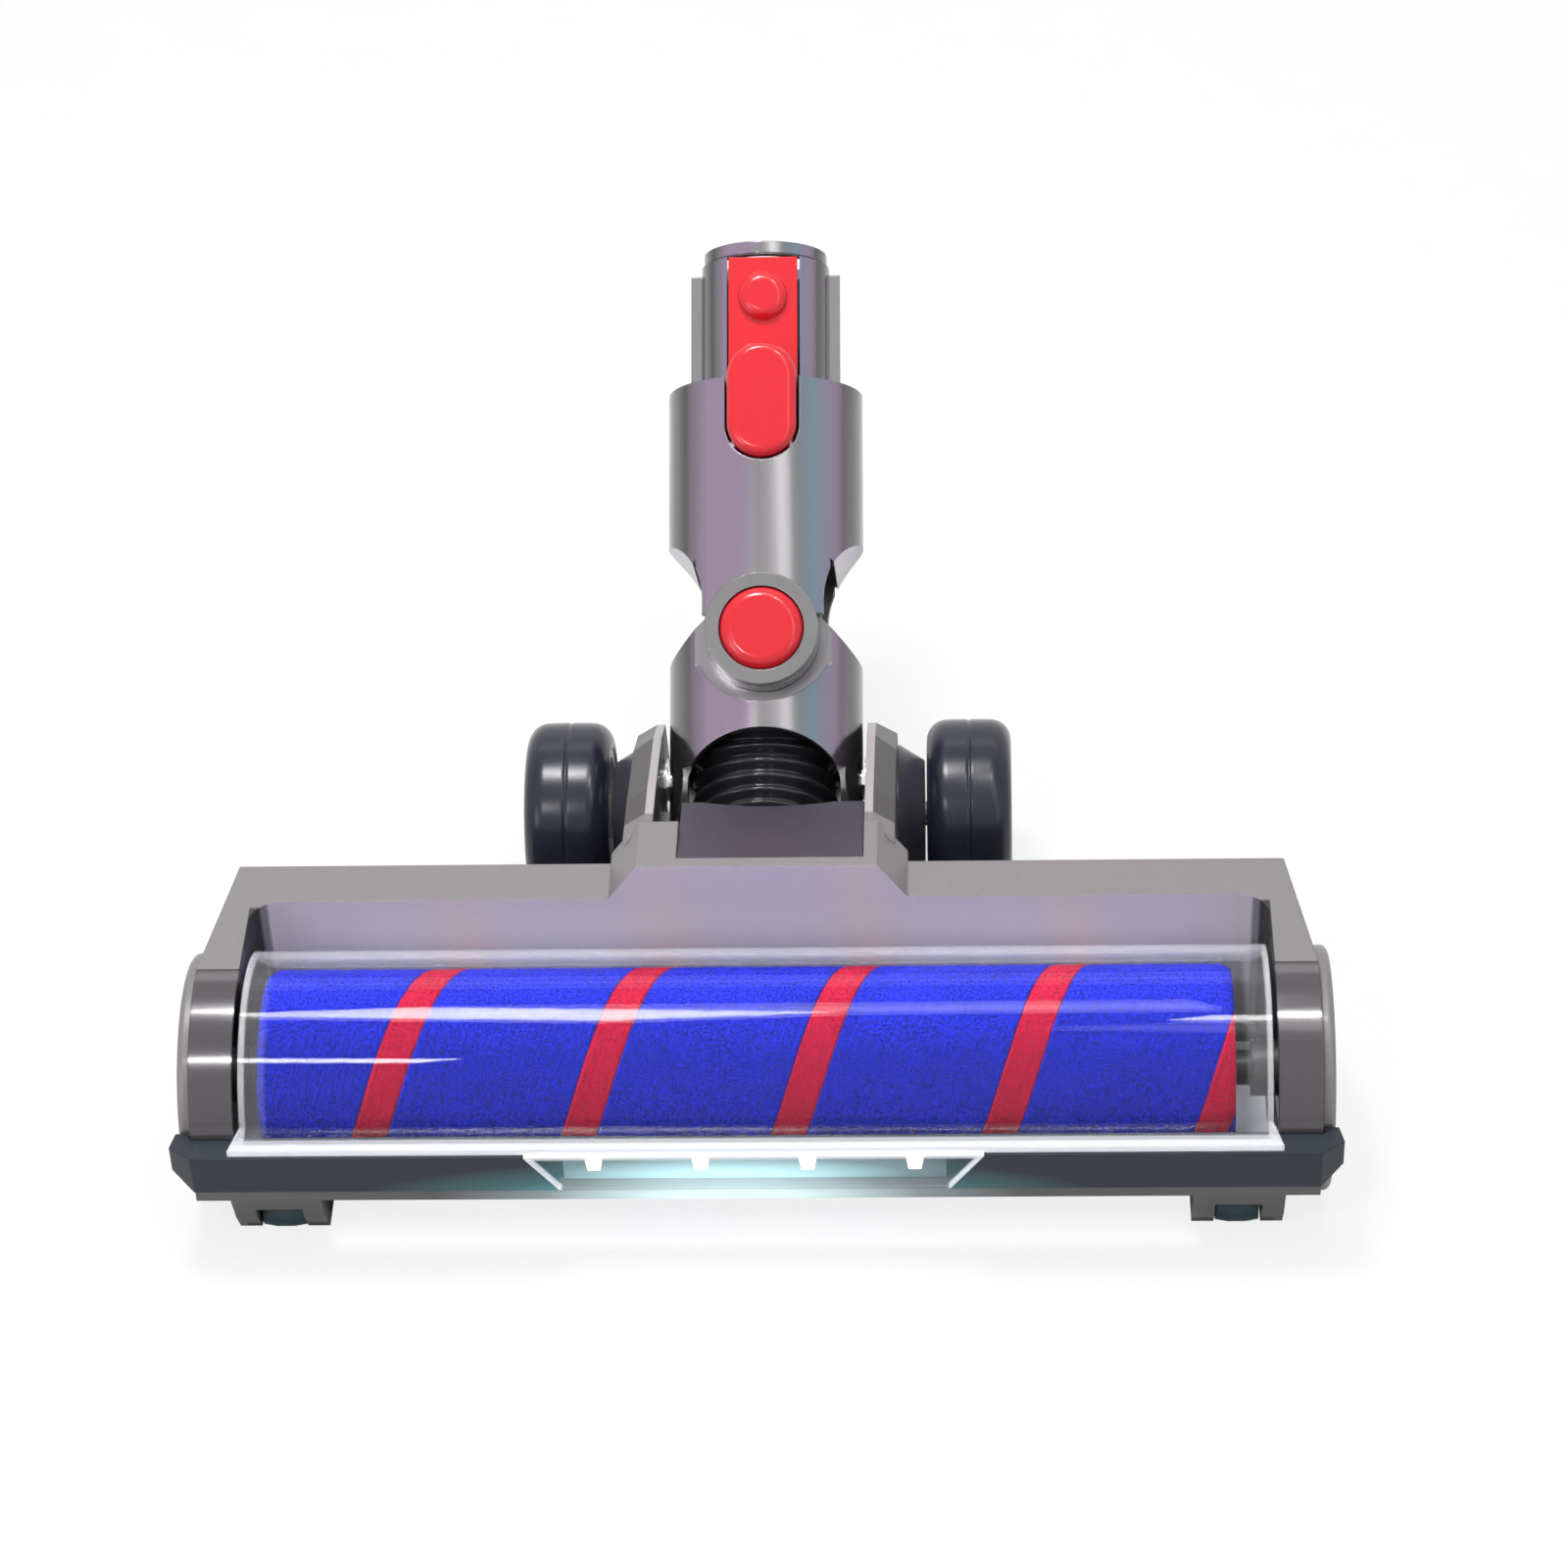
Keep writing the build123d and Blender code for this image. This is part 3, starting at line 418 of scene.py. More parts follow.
@dataclass(frozen=True)
class Moulding:
    """Moulded plastic, plain or with fine metal flake.

    The colour wavers with a fine noise, the roughness with a coarser one, a slight bump gives the
    skin of a moulding, and edges shade as if rounded. Painted reflections can run through grey,
    purple and teal bands as its surface turns from left to right, darker at both edges. Patches
    paint shade or light into its tone, and a painted glow of the lamp's light can spill onto it.
    """

    name: str
    colour: Colour
    roughness: float = 0.4
    metallic: float = 0.0
    coat: float = 0.0
    fleck: float = 0.08
    grain: float = 0.05
    gloss: float = 0.4
    edge: float = 0.0005
    tint: Tint = Tint.NONE
    patches: tuple[Patch, ...] = ()
    spill: Spill | None = None

    def make(self) -> bpy.types.Material:
        """Build the material.

        Returns:
            The finished material.
        """
        sheet = NodeSheet(self.name)
        sheet.set(Metallic=self.metallic, Specular_IOR_Level=self.gloss)
        sheet.set(Coat_Weight=self.coat, Coat_Roughness=0.08)
        fine = sheet.noise(2600.0, 2.0)
        # Painted reflection: colour bands by the surface's direction along X, dark at both edges and bright
        # in the middle, with purple and teal between.
        if self.tint is Tint.REFLECTION_BANDS:
            place = sheet.add("ShaderNodeMapRange")
            place.inputs["From Min"].default_value = -1.0
            sheet.link(sheet.facing("X"), place.inputs["Value"])
            colour = sheet.bands(place.outputs["Result"], self.reflection_bands())
            colour = sheet.mix(sheet.spread(fine, 0.0, 0.25), colour, shade(self.colour, 0.6))
        else:
            colour = sheet.ramp(fine, shade(self.colour, 1 - self.fleck), shade(self.colour, 1 + self.fleck))
        for patch in self.patches:
            # Painted shade and light of the patches.
            colour = sheet.mix(patch.share(sheet), colour, shade(self.colour, patch.by))
        if self.spill is not None:
            self.spill.light(sheet)
        sheet.link(colour, sheet.shader.inputs["Base Color"])
        worn = sheet.spread(sheet.noise(60.0, 3.0), self.roughness * 0.85, self.roughness * 1.15)
        sheet.link(worn, sheet.shader.inputs["Roughness"])
        sheet.bump(fine, self.grain, 0.00004, sheet.rounded(self.edge))
        return sheet.material

    def reflection_bands(self) -> tuple[tuple[float, Colour], ...]:
        """Bands of painted reflection, from surfaces that look left to those that look right."""
        red, green, blue = self.colour
        grey = self.colour
        purple = (red * 1.12, green * 0.86, blue * 1.2)
        teal = (red * 0.66, green * 1.02, blue * 1.24)
        return (
            (0.0, shade(grey, 0.5)),
            (0.1, shade(grey, 0.45)),
            (0.22, shade(purple, 1.1)),
            (0.38, shade(purple, 1.0)),
            (0.48, shade(grey, 0.85)),
            (0.56, shade(grey, 1.25)),
            (0.66, shade(grey, 0.75)),
            (0.76, shade(teal, 1.0)),
            (0.86, shade(purple, 0.95)),
            (0.95, shade(grey, 0.5)),
            (1.0, shade(grey, 0.6)),
        )


@dataclass(frozen=True)
class Pile:
    """Soft nylon pile: two tones mixed by a fibre noise, sheen, and a bump of tufts.

    A painted sheen gives it the deep tone where it faces the view and the bright one at a slant.
    """

    name: str
    deep: Colour
    bright: Colour

    def make(self) -> bpy.types.Material:
        """Build the material.

        Returns:
            The finished material.
        """
        sheet = NodeSheet(self.name)
        sheet.set(Roughness=0.85, Sheen_Weight=0.15, Sheen_Roughness=0.4, Specular_IOR_Level=0.0)
        sheet.shader.inputs["Sheen Tint"].default_value = (*self.bright, 1.0)
        tufts = sheet.noise(1500.0, 3.0)
        brushed = sheet.noise(140.0, 2.0, (0.5, 1.0, 1.0))
        colour = sheet.ramp(tufts, self.deep, self.bright, (0.32, 0.66))
        share = sheet.spread(brushed, 0.0, 0.45)
        colour = sheet.mix(share, colour, self.deep)
        # Painted sheen: the deep tone where the pile faces the view, the bright one at a slant.
        sheet.link(sheet.mix(self.straight(sheet), colour, self.deep), sheet.shader.inputs["Base Color"])
        sheet.bump(tufts, 0.5, 0.0003)
        return sheet.material


    def straight(self, sheet: NodeSheet) -> Socket:
        """Share of the deep tone by the angle from which the pile is seen: a painted sheen.

        Args:
            sheet: material under construction.

        Returns:
            A socket that falls to 0 as the view slants.
        """
        view = sheet.add("ShaderNodeLayerWeight")
        fall = sheet.add("ShaderNodeMapRange")
        fall.inputs["From Max"].default_value = 0.3
        fall.inputs["To Min"].default_value = 0.62
        fall.inputs["To Max"].default_value = 0.0
        sheet.link(view.outputs["Facing"], fall.inputs["Value"])
        return fall.outputs["Result"]


@dataclass(frozen=True)
class Rubber:
    """Rubber with a faint mould texture and patches of dust that change its roughness."""

    name: str
    colour: Colour
    roughness: float
    grain: float = 0.15

    def make(self) -> bpy.types.Material:
        """Build the material.

        Returns:
            The finished material.
        """
        sheet = NodeSheet(self.name)
        sheet.set(Specular_IOR_Level=0.35)
        fine = sheet.noise(1800.0, 3.0)
        dust = sheet.noise(90.0, 4.0)
        colour = sheet.ramp(dust, self.colour, shade(self.colour, 1.5), (0.4, 0.8))
        sheet.link(colour, sheet.shader.inputs["Base Color"])
        dull = sheet.spread(dust, self.roughness * 0.8, self.roughness * 1.2)
        sheet.link(dull, sheet.shader.inputs["Roughness"])
        sheet.bump(fine, self.grain, 0.00008)
        return sheet.material


@dataclass(frozen=True)
class Metal:
    """Turned or plated metal with fine rings of brushing."""

    name: str
    colour: Colour
    roughness: float

    def make(self) -> bpy.types.Material:
        """Build the material.

        Returns:
            The finished material.
        """
        sheet = NodeSheet(self.name)
        sheet.set(Metallic=1.0)
        rings = sheet.noise(900.0, 2.0, (4.0, 1.0, 1.0))
        colour = sheet.ramp(rings, shade(self.colour, 0.9), self.colour)
        sheet.link(colour, sheet.shader.inputs["Base Color"])
        dull = sheet.spread(rings, self.roughness * 0.7, self.roughness * 1.3)
        sheet.link(dull, sheet.shader.inputs["Roughness"])
        sheet.bump(rings, 0.08, 0.00003)
        return sheet.material


@dataclass(frozen=True)
class Clear:
    """Clear plastic that lets lamp light through, with edges turned white as a painted highlight."""

    name: str
    edges: tuple[Region, ...]
    colour: Colour = (0.97, 0.98, 1.0)
    roughness: float = 0.015

    def make(self) -> bpy.types.Material:
        """Build the material.

        Returns:
            The finished material.
        """
        sheet = NodeSheet(self.name)
        sheet.set(IOR=1.07, Roughness=self.roughness, Coat_Weight=0.26, Coat_Roughness=0.02)
        sheet.shader.inputs["Base Color"].default_value = (*self.colour, 1.0)
        sheet.link(self.clear_share(sheet), sheet.shader.inputs["Transmission Weight"])
        waver = sheet.noise(25.0, 1.0)
        sheet.bump(waver, 0.012, 0.0002, sheet.rounded(0.0006))
        path = sheet.add("ShaderNodeLightPath")
        window = sheet.add("ShaderNodeBsdfTransparent")
        window.inputs["Color"].default_value = (*shade(self.colour, 0.95), 1.0)
        chooser = sheet.add("ShaderNodeMixShader")
        sheet.link(path.outputs["Is Shadow Ray"], chooser.inputs["Fac"])
        sheet.link(sheet.shader.outputs["BSDF"], chooser.inputs[1])
        sheet.link(window.outputs["BSDF"], chooser.inputs[2])
        sheet.link(chooser.outputs["Shader"], sheet.output.inputs["Surface"])
        return sheet.material

    def clear_share(self, sheet: NodeSheet) -> Socket:
        """Share of clear plastic: 1 minus the largest share of the white edge highlights.

        Args:
            sheet: material under construction.

        Returns:
            A socket from 0, white, to 1, clear.
        """
        most = sheet.join("MAXIMUM", *(edge.place(sheet) for edge in self.edges))
        return sheet.spread(most, 1.0, 0.0)


@dataclass(frozen=True)
class Glow:
    """Lit resin of the lamp chips, a little uneven over its face."""

    name: str
    colour: Colour
    strength: float

    def make(self) -> bpy.types.Material:
        """Build the material.

        Returns:
            The finished material.
        """
        sheet = NodeSheet(self.name)
        sheet.set(Roughness=0.4, Emission_Strength=self.strength)
        patch = sheet.noise(700.0, 2.0)
        colour = sheet.ramp(patch, shade(self.colour, 0.85), self.colour)
        sheet.link(colour, sheet.shader.inputs["Base Color"])
        sheet.link(colour, sheet.shader.inputs["Emission Color"])
        return sheet.material


class Finishes:
    """All finishes of the head, each made once and handed out by name."""

    def __init__(self) -> None:
        """Make every finish."""
        turned = Measure.FACING
        # Painted shade: the inside of the roller chamber, darkened to a tenth of the colour.
        chamber_shade = Patch(
            (
                Region(INWARDS, -CHAMBER_HALF, soft=0.1),
                Region(FORWARDS, -CHAMBER_REAR - ROLLER_Y),
                Region(REARWARDS, CHAMBER_FRONT + ROLLER_Y, soft=0.2),
            ),
            by=0.1,
        )
        # Painted light: the front-facing wall of the recess behind the cover, lit up to 2.9 times the
        # colour.
        recess_light = Patch(
            (
                Region(INWARDS, -RECESS_HALF),
                Region(REARWARDS, CHAMBER_REAR + 0.1 + ROLLER_Y),
                Region(FORWARDS, 0.5, soft=0.2, measure=turned),
            ),
            by=2.9,
        )
        behind = Region(REARWARDS, ARM_FRONT + ROLLER_Y)
        # Painted shade: the outward faces behind the arms' front, darkened for the dark reflection that they
        # show.
        leaf_shade = Patch((behind, Region(OUTWARDS, 0.4, soft=0.15, measure=turned)), by=0.3)
        # Painted light: the inward faces of the arms behind their front, lightened to twice the colour.
        arm_light = Patch((behind, Region(INWARDS, -0.25, soft=0.15, measure=turned)), by=2.0)
        specs = (
            Moulding(
                "grey_flake", (0.225, 0.207, 0.215), 0.42, metallic=0.2, coat=0.1,
                patches=(chamber_shade, recess_light, leaf_shade, arm_light),
            ),
            # Painted shade: a darker copy of the housing's grey flake, standing in for the dark reflections
            # on the cheeks.
            Moulding("shaded_cheek_flake", (0.08, 0.073, 0.08), 0.18, metallic=0.35, coat=0.5, patches=(chamber_shade,)),
            Moulding(
                "base_flake", (0.1, 0.096, 0.098), 0.42, metallic=0.2, coat=0.1, patches=(chamber_shade,),
                spill=Spill((0.72, 0.97, 1.0), (LAMP_X, -34.0 + ROLLER_Y, 18.0), (66.0, 12.0, 8.0), 1.0),
            ),
            Moulding(
                "neck_flake", (0.27, 0.26, 0.27), 0.22, metallic=0.8, coat=0.2,
                fleck=0.06, grain=0.04, tint=Tint.REFLECTION_BANDS,
            ),
            Moulding("ring_grey", (0.2, 0.195, 0.2), 0.25, metallic=0.6, coat=0.2),
            Moulding("dark_flake", (0.055, 0.049, 0.07), 0.38, metallic=0.2, coat=0.1),
            Moulding("black_moulding", (0.014, 0.015, 0.018), 0.45),
            Moulding("hub_white", (0.62, 0.62, 0.64), 0.35),
            Moulding(
                "signal_red", (0.72, 0.014, 0.026), 0.2, coat=0.3, fleck=0.03, grain=0.02, gloss=0.3
            ),
            Moulding("foot_teal", (0.015, 0.045, 0.055), 0.4),
            Moulding(
                "slate", (0.024, 0.03, 0.04), 0.42, gloss=0.25,
                spill=Spill((0.25, 0.8, 0.85), (LAMP_X, -35.0 + ROLLER_Y, 18.0), (85.0, 12.0, 13.0), 0.7),
            ),
            Moulding(
                "lamp_board", (0.06, 0.09, 0.1), 0.42, gloss=0.25,
                spill=Spill((0.6, 0.96, 1.0), (LAMP_X, -31.9 + ROLLER_Y, 22.0), (62.0, 9.0, 10.0), 1.05),
            ),
            Pile("blue_pile", (0.003, 0.006, 0.1), (0.018, 0.032, 0.72)),
            Pile("red_pile", (0.16, 0.003, 0.016), (0.62, 0.01, 0.05)),
            Rubber("hose_black", (0.02, 0.02, 0.025), 0.14, grain=0.05),
            Rubber("tyre_black", (0.013, 0.015, 0.026), 0.25),
            Metal("pin_steel", (0.56, 0.56, 0.58), 0.3),
            Metal("pin_bright", (0.78, 0.78, 0.8), 0.12),
            Metal("contact_brass", (0.7, 0.52, 0.25), 0.25),
            # Painted highlight: the cover's flange, rear strip and end rims turn white.
            Clear(
                "cover_clear",
                (
                    Region(FORWARDS, -COVER_FLANGE - ROLLER_Y, share=0.4),
                    Region(REARWARDS, COVER_REAR + ROLLER_Y, share=0.22, soft=12.0),
                    Region(OUTWARDS, COVER_RIM, share=0.25),
                    Region(OUTWARDS, COVER_END, share=0.03, soft=1.5),
                ),
            ),
            # Painted highlight: the lens's top edge and slanted sides turn white.
            Clear(
                "lens_clear",
                (
                    Region(UPWARDS, LENS_TOP, share=0.75),
                    Region((1.0, 0.0, -LENS_SLOPE), LENS_HALF - LENS_FOOT * LENS_SLOPE, share=0.6),
                ),
            ),
            Glow("lamp_warm", (1.0, 0.9, 0.66), 1.1),
        )
        self.made: dict[str, bpy.types.Material] = {spec.name: spec.make() for spec in specs}

    def get(self, name: str) -> bpy.types.Material:
        """The finish of that name."""
        return self.made[name]


def ring_quads(rows: int, columns: int, wrap_rows: bool, wrap_columns: bool) -> np.ndarray:
    """Quads of a grid whose points are numbered row by row.

    Args:
        rows: number of rows of points.
        columns: number of points in a row.
        wrap_rows: whether the last row joins the first.
        wrap_columns: whether the last point of a row joins its first.

    Returns:
        An array of four point numbers per quad.
    """
    row = np.arange(rows if wrap_rows else rows - 1)[:, None]
    column = np.arange(columns if wrap_columns else columns - 1)[None, :]
    next_row = (row + 1) % rows
    next_column = (column + 1) % columns
    corners = (
        row * columns + column,
        row * columns + next_column,
        next_row * columns + next_column,
        next_row * columns + column,
    )
    return np.stack(np.broadcast_arrays(*corners), axis=-1).reshape(-1, 4)


def mesh_piece(name: str, points: np.ndarray, faces: list, material: bpy.types.Material) -> bpy.types.Object:
    """Put points and faces into a smooth mesh object at the origin, with its faces pointing outwards.

    Args:
        name: name of the piece.
        points: array of points in mm.
        faces: lists of point numbers.
        material: finish of the piece.

    Returns:
        The new object.
    """
    mesh = bpy.data.meshes.new(name)
    mesh.from_pydata((points.reshape(-1, 3) * MM).tolist(), [], faces)
    mesh.polygons.foreach_set("use_smooth", np.ones(len(mesh.polygons), dtype=bool))
    mesh.materials.append(material)
    mesh.update()
    made = bpy.data.objects.new(name, mesh)
    bpy.context.scene.collection.objects.link(made)
    LOG.info("piece %s: %d faces", name, len(mesh.polygons))
    return made


def dress(finish: bpy.types.Material, *nodes: str) -> None:
    """Give CAD nodes a finish.

    Args:
        finish: material to use.
        nodes: names of the nodes.
    """
    for name in nodes:
        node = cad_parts[name]
        for held in node.material_slots:
            held.link = "OBJECT"
            held.material = finish
        LOG.info("node %s: %s", name, finish.name)


@dataclass
class SoftRoller:
    """The pile roller: a blue helical sleeve with one red helical band, on a core with two hubs.

    Lengths are in mm, the phase is in degrees.
    """

    finishes: Finishes
    radius: float = 24.0
    core: float = 20.1
    left: float = -112.5
    right: float = 108.0
    height: float = 24.3
    pitch: float = 47.5
    band: float = 8.0
    phase: float = 94.0
    gap: float = 0.24
    nap: float = 0.45

    def build(self) -> None:
        """Make both piles and dress the core."""
        span = 360.0 * self.band / self.pitch
        start = self.phase - span / 2
        rest = 360.0 - span - 2 * self.gap
        blue = self.sector("roller_pile_blue", start + span + self.gap, rest, 190, "blue_pile")
        red = self.sector("roller_band_red", start, span, 42, "red_pile")
        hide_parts("roller_pile")
        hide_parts("roller_band")
        dress(self.finishes.get("black_moulding"), "roller_core", "roller_drive_hub", "roller_bearing_hub")
        dress(self.finishes.get("pin_steel"), "drive_dog")

    def sector(self, name: str, start: float, span: float, count: int, finish: str) -> bpy.types.Object:
        """Twisted sector of the pile ring.

        The angle of a point is its place in the sector minus a full turn per pitch along X. Its
        radius is the roller's, less a random fibre depth, less a crease at both borders of the
        sector and less a rounding at both ends of the roller. Below the borders the loop goes
        down to the core and back along it.

        Args:
            name: name of the piece.
            start: angle of the sector's first border at the left end, from straight down.
            span: width of the sector in degrees.
            count: number of points over the outer arc.
            finish: name of its finish.

        Returns:
            The new piece.
        """
        rows = 340
        x = np.linspace(self.left, self.right, rows)
        share = np.linspace(0.0, 1.0, count)
        rng = np.random.default_rng(count)
        fibres = rng.random((rows, count))
        fibres = 0.5 * fibres + 0.25 * (np.roll(fibres, 1, 0) + np.roll(fibres, 1, 1))
        arc = share * math.radians(span) * self.radius
        border = np.minimum(arc, arc[-1] - arc)
        crease = 0.5 * np.exp(-(border / 0.7) ** 2)
        tip = np.minimum(x - self.left, self.right - x)
        rounding = 1.1 * np.exp(-(tip / 1.2) ** 2)
        outer = self.radius - self.nap * fibres - crease[None, :] - rounding[:, None]
        inner_share = np.linspace(1.0, 0.0, 20)
        inner = np.full((rows, inner_share.size), self.core)
        reach = np.concatenate([outer, inner], axis=1)
        place = np.concatenate([share, inner_share])
        twist = (2 * math.pi / self.pitch) * (x - self.left)
        turn = np.radians(start + span * place)[None, :] - twist[:, None]
        points = np.stack(
            [
                np.broadcast_to(x[:, None], reach.shape),
                ROLLER_Y + reach * np.sin(turn),
                self.height - reach * np.cos(turn),
            ],
            axis=-1,
        )
        loop = reach.shape[1]
        faces = ring_quads(rows, loop, False, True).tolist()
        faces.append(list(range(loop))[::-1])
        faces.append(list(range((rows - 1) * loop, rows * loop)))
        made = mesh_piece(name, points, faces, self.finishes.get(finish))
        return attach(made, "roller")


@dataclass
class RibbedHose:
    """Corrugated rubber hose along a line in the middle plane.

    Lengths are in mm. The line is given by its points and directions in Y and Z.
    """

    finishes: Finishes
    name: str
    node: str
    bodies: tuple[str, str]
    bore: float
    groove: float
    rib: float
    ribs: int
    line: np.ndarray
    heading: np.ndarray
    blend_share: tuple[float, float] = (0.15, 0.9)

    def build(self) -> bpy.types.Object:
        """Carry the hose's wall along its line.

        The outer radius swells from groove to rib with the power of a raised cosine, once per
        rib, and the wall comes back along the bore. Around the line the section is a circle in
        the plane across the heading, which X and the heading's normal span.

        Returns:
            The new piece.
        """
        count = self.line.shape[0]
        share = np.linspace(0.0, 1.0, count)
        swell = (0.5 - 0.5 * np.cos(2 * math.pi * self.ribs * share)) ** 0.7
        outer = self.groove + (self.rib - self.groove) * swell
        back = np.arange(count - 1, -1, -6)
        radius = np.concatenate([outer, np.full(back.size, self.bore)])
        pick = np.concatenate([np.arange(count), back])
        centre = self.line[pick]
        head = self.heading[pick]
        across = np.stack([-head[:, 1], head[:, 0]], axis=-1)
        angle = np.linspace(0.0, 2 * math.pi, 72, endpoint=False)
        x = radius[:, None] * np.cos(angle)[None, :]
        lift = radius[:, None] * np.sin(angle)[None, :]
        y = centre[:, 0:1] + across[:, 0:1] * lift
        z = centre[:, 1:2] + across[:, 1:2] * lift
        points = np.stack([x, y, z], axis=-1)
        faces = ring_quads(radius.size, angle.size, True, True)[:, ::-1].tolist()
        made = mesh_piece(self.name, points, faces, self.finishes.get("hose_black"))
        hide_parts(self.node)
        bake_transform(made)
        return made


@dataclass
class Neck:
    """The leaning neck: knuckle, sleeve, tube, latch, swivel trim and both hoses. Lengths are in mm."""

    finishes: Finishes
    pivot: tuple[float, float] = (81.2 + ROLLER_Y, 42.0)
    lean: float = 49.3
    bend: float = 60.0
    hose_start: float = 46.0 + ROLLER_Y
    hose_reach: float = 12.5
    inner_low: float = 44.1
    inner_high: float = 61.9

    def build(self) -> None:
        """Dress the rigid neck and make both hoses."""
        get = self.finishes.get
        dress(get("neck_flake"), "knuckle", "neck_sleeve", "neck_tube")
        dress(get("ring_grey"), "swivel_ring")
        dress(get("signal_red"), "swivel_cap", "latch")
        dress(get("pin_steel"), "swivel_pins", "latch_pin")
        dress(get("black_moulding"), "contact_block")
        dress(get("contact_brass"), "contact_pins")
        line, heading = self.hose_line()
        lower = RibbedHose(
            self.finishes, "hose_ribbed", "hose", ("housing", "knuckle"),
            bore=13.6, groove=15.5, rib=17.6, ribs=9, line=line, heading=heading,
        )
        lower.build()
        line, heading = self.inner_line()
        inner = RibbedHose(
            self.finishes, "inner_hose_ribbed", "inner_hose", ("knuckle", "neck"),
            bore=10.6, groove=12.4, rib=14.0, ribs=4, line=line, heading=heading, blend_share=(0.0, 1.0),
        )
        inner.build()

    def along(self) -> np.ndarray:
        """Direction of the neck in Y and Z."""
        lean = math.radians(self.lean)
        return np.array([math.sin(lean), math.cos(lean)])

    def hose_line(self) -> tuple[np.ndarray, np.ndarray]:
        """Line of the lower hose: straight back from the outlet, then an arc up into the neck.

        Returns:
            Points and directions in Y and Z.
        """
        rise = math.radians(90.0 - self.lean)
        end = np.array(self.pivot) + self.hose_reach * self.along()
        knee = end - self.bend * np.array([math.sin(rise), 1 - math.cos(rise)])
        straight = knee[0] - self.hose_start
        path = np.linspace(0.0, straight + self.bend * rise, 160)
        turn = np.maximum(0.0, path - straight) / self.bend
        y = self.hose_start + np.minimum(path, straight) + self.bend * np.sin(turn)
        z = knee[1] + self.bend * (1 - np.cos(turn))
        return np.stack([y, z], axis=-1), np.stack([np.cos(turn), np.sin(turn)], axis=-1)

    def inner_line(self) -> tuple[np.ndarray, np.ndarray]:
        """Straight line of the short hose between the knuckle's head and the tube.

        Returns:
            Points and directions in Y and Z.
        """
        path = np.linspace(self.inner_low, self.inner_high, 70)
        along = self.along()
        return np.array(self.pivot) + path[:, None] * along[None, :], np.broadcast_to(along, (path.size, 2))


@dataclass
class RearWheels:
    """Both rear wheels: rubber tyres on spoked hubs, with axles and fairings. Lengths are in mm."""

    finishes: Finishes
    centre: tuple[float, float] = (92.2 + ROLLER_Y, 23.0)
    inner_x: float = 38.5
    width: float = 20.5
    radius: float = 23.0
    rim: float = 17.1
    corner: float = 5.0
    crown: float = 0.3

    def build(self) -> None:
        """Make the tyres and dress the rest."""
        for side in Side:
            word = side.name.lower()
            made = self.tyre(side)
            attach(made, f"{word}_wheel")
            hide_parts(f"{word}_tyre")
            dress(self.finishes.get("hub_white"), f"{word}_wheel_hub")
            dress(self.finishes.get("pin_steel"), f"{word}_axle", f"{word}_front_pin")
            dress(self.finishes.get("dark_flake"), f"{word}_axle_fairing")
            dress(self.finishes.get("pin_bright"), f"{word}_pivot_pin")
            dress(self.finishes.get("foot_teal"), f"{word}_front_wheel")

    def tyre(self, side: Side) -> bpy.types.Object:
        """Tyre turned about its axle.

        Over the width the radius follows a shallow crown with a fine mould seam in the middle,
        and at both shoulders a quarter circle takes it down to the side wall. The profile goes
        back along the rim, and a full turn about X closes the tyre.

        Args:
            side: the wheel's side.

        Returns:
            The new piece.
        """
        half = self.width / 2
        flat = half - self.corner
        arc = np.linspace(math.pi / 2, 0.0, 10)
        crown_x = np.linspace(-flat, flat, 41)
        crown_r = self.radius - self.crown * (crown_x / half) ** 2 - 0.3 * np.exp(-(crown_x / 0.35) ** 2)
        edge_r = crown_r[-1]
        right_x = flat + self.corner * np.cos(arc)
        right_r = edge_r - self.corner + self.corner * np.sin(arc)
        wall_r = np.linspace(right_r[-1], self.rim, 4)[1:]
        back_x = np.linspace(half, -half, 6)[1:]
        back_r = np.full(back_x.size, self.rim)
        tread_x = np.concatenate([-right_x[::-1], crown_x[1:-1], right_x])
        tread_r = np.concatenate([right_r[::-1], crown_r[1:-1], right_r])
        x = np.concatenate([tread_x, np.full(3, half), back_x, np.full(2, -half)])
        r = np.concatenate([tread_r, wall_r, back_r, wall_r[1::-1]])
        middle = side.value * (self.inner_x + half)
        turn = np.linspace(0.0, 2 * math.pi, 128, endpoint=False)
        points = np.stack(
            [
                np.broadcast_to(middle + x[:, None], (x.size, turn.size)),
                self.centre[0] + r[:, None] * np.cos(turn)[None, :],
                self.centre[1] + r[:, None] * np.sin(turn)[None, :],
            ],
            axis=-1,
        )
        faces = ring_quads(x.size, turn.size, True, True).tolist()
        return mesh_piece(f"{side.name.lower()}_tyre_round", points, faces, self.finishes.get("tyre_black"))


@dataclass
class Housing:
    """Housing, cheeks, panel, base, cover, bumper with its lamp, drive and lock."""

    finishes: Finishes
    grey: tuple[str, ...] = ("upper_housing", "left_end_plate", "right_end_cap")

    def build(self) -> None:
        """Dress every node of the housing."""
        get = self.finishes.get
        dress(get("grey_flake"), *self.grey)
        dress(get("shaded_cheek_flake"), "left_cheek", "right_cheek")
        dress(get("base_flake"), "base_plate")
        dress(get("dark_flake"), "centre_panel")
        dress(get("slate"), "front_bumper")
        dress(get("cover_clear"), "clear_cover")
        dress(get("lens_clear"), "lamp_lens")
        dress(get("lamp_board"), "lamp_board")
        dress(get("lamp_warm"), "lamp_chips")
        dress(get("signal_red"), "turn_lock")
        dress(get("black_moulding"), "left_roller_bearing", "roller_gearbox")
        dress(get("pin_steel"), "roller_motor", "base_screws")


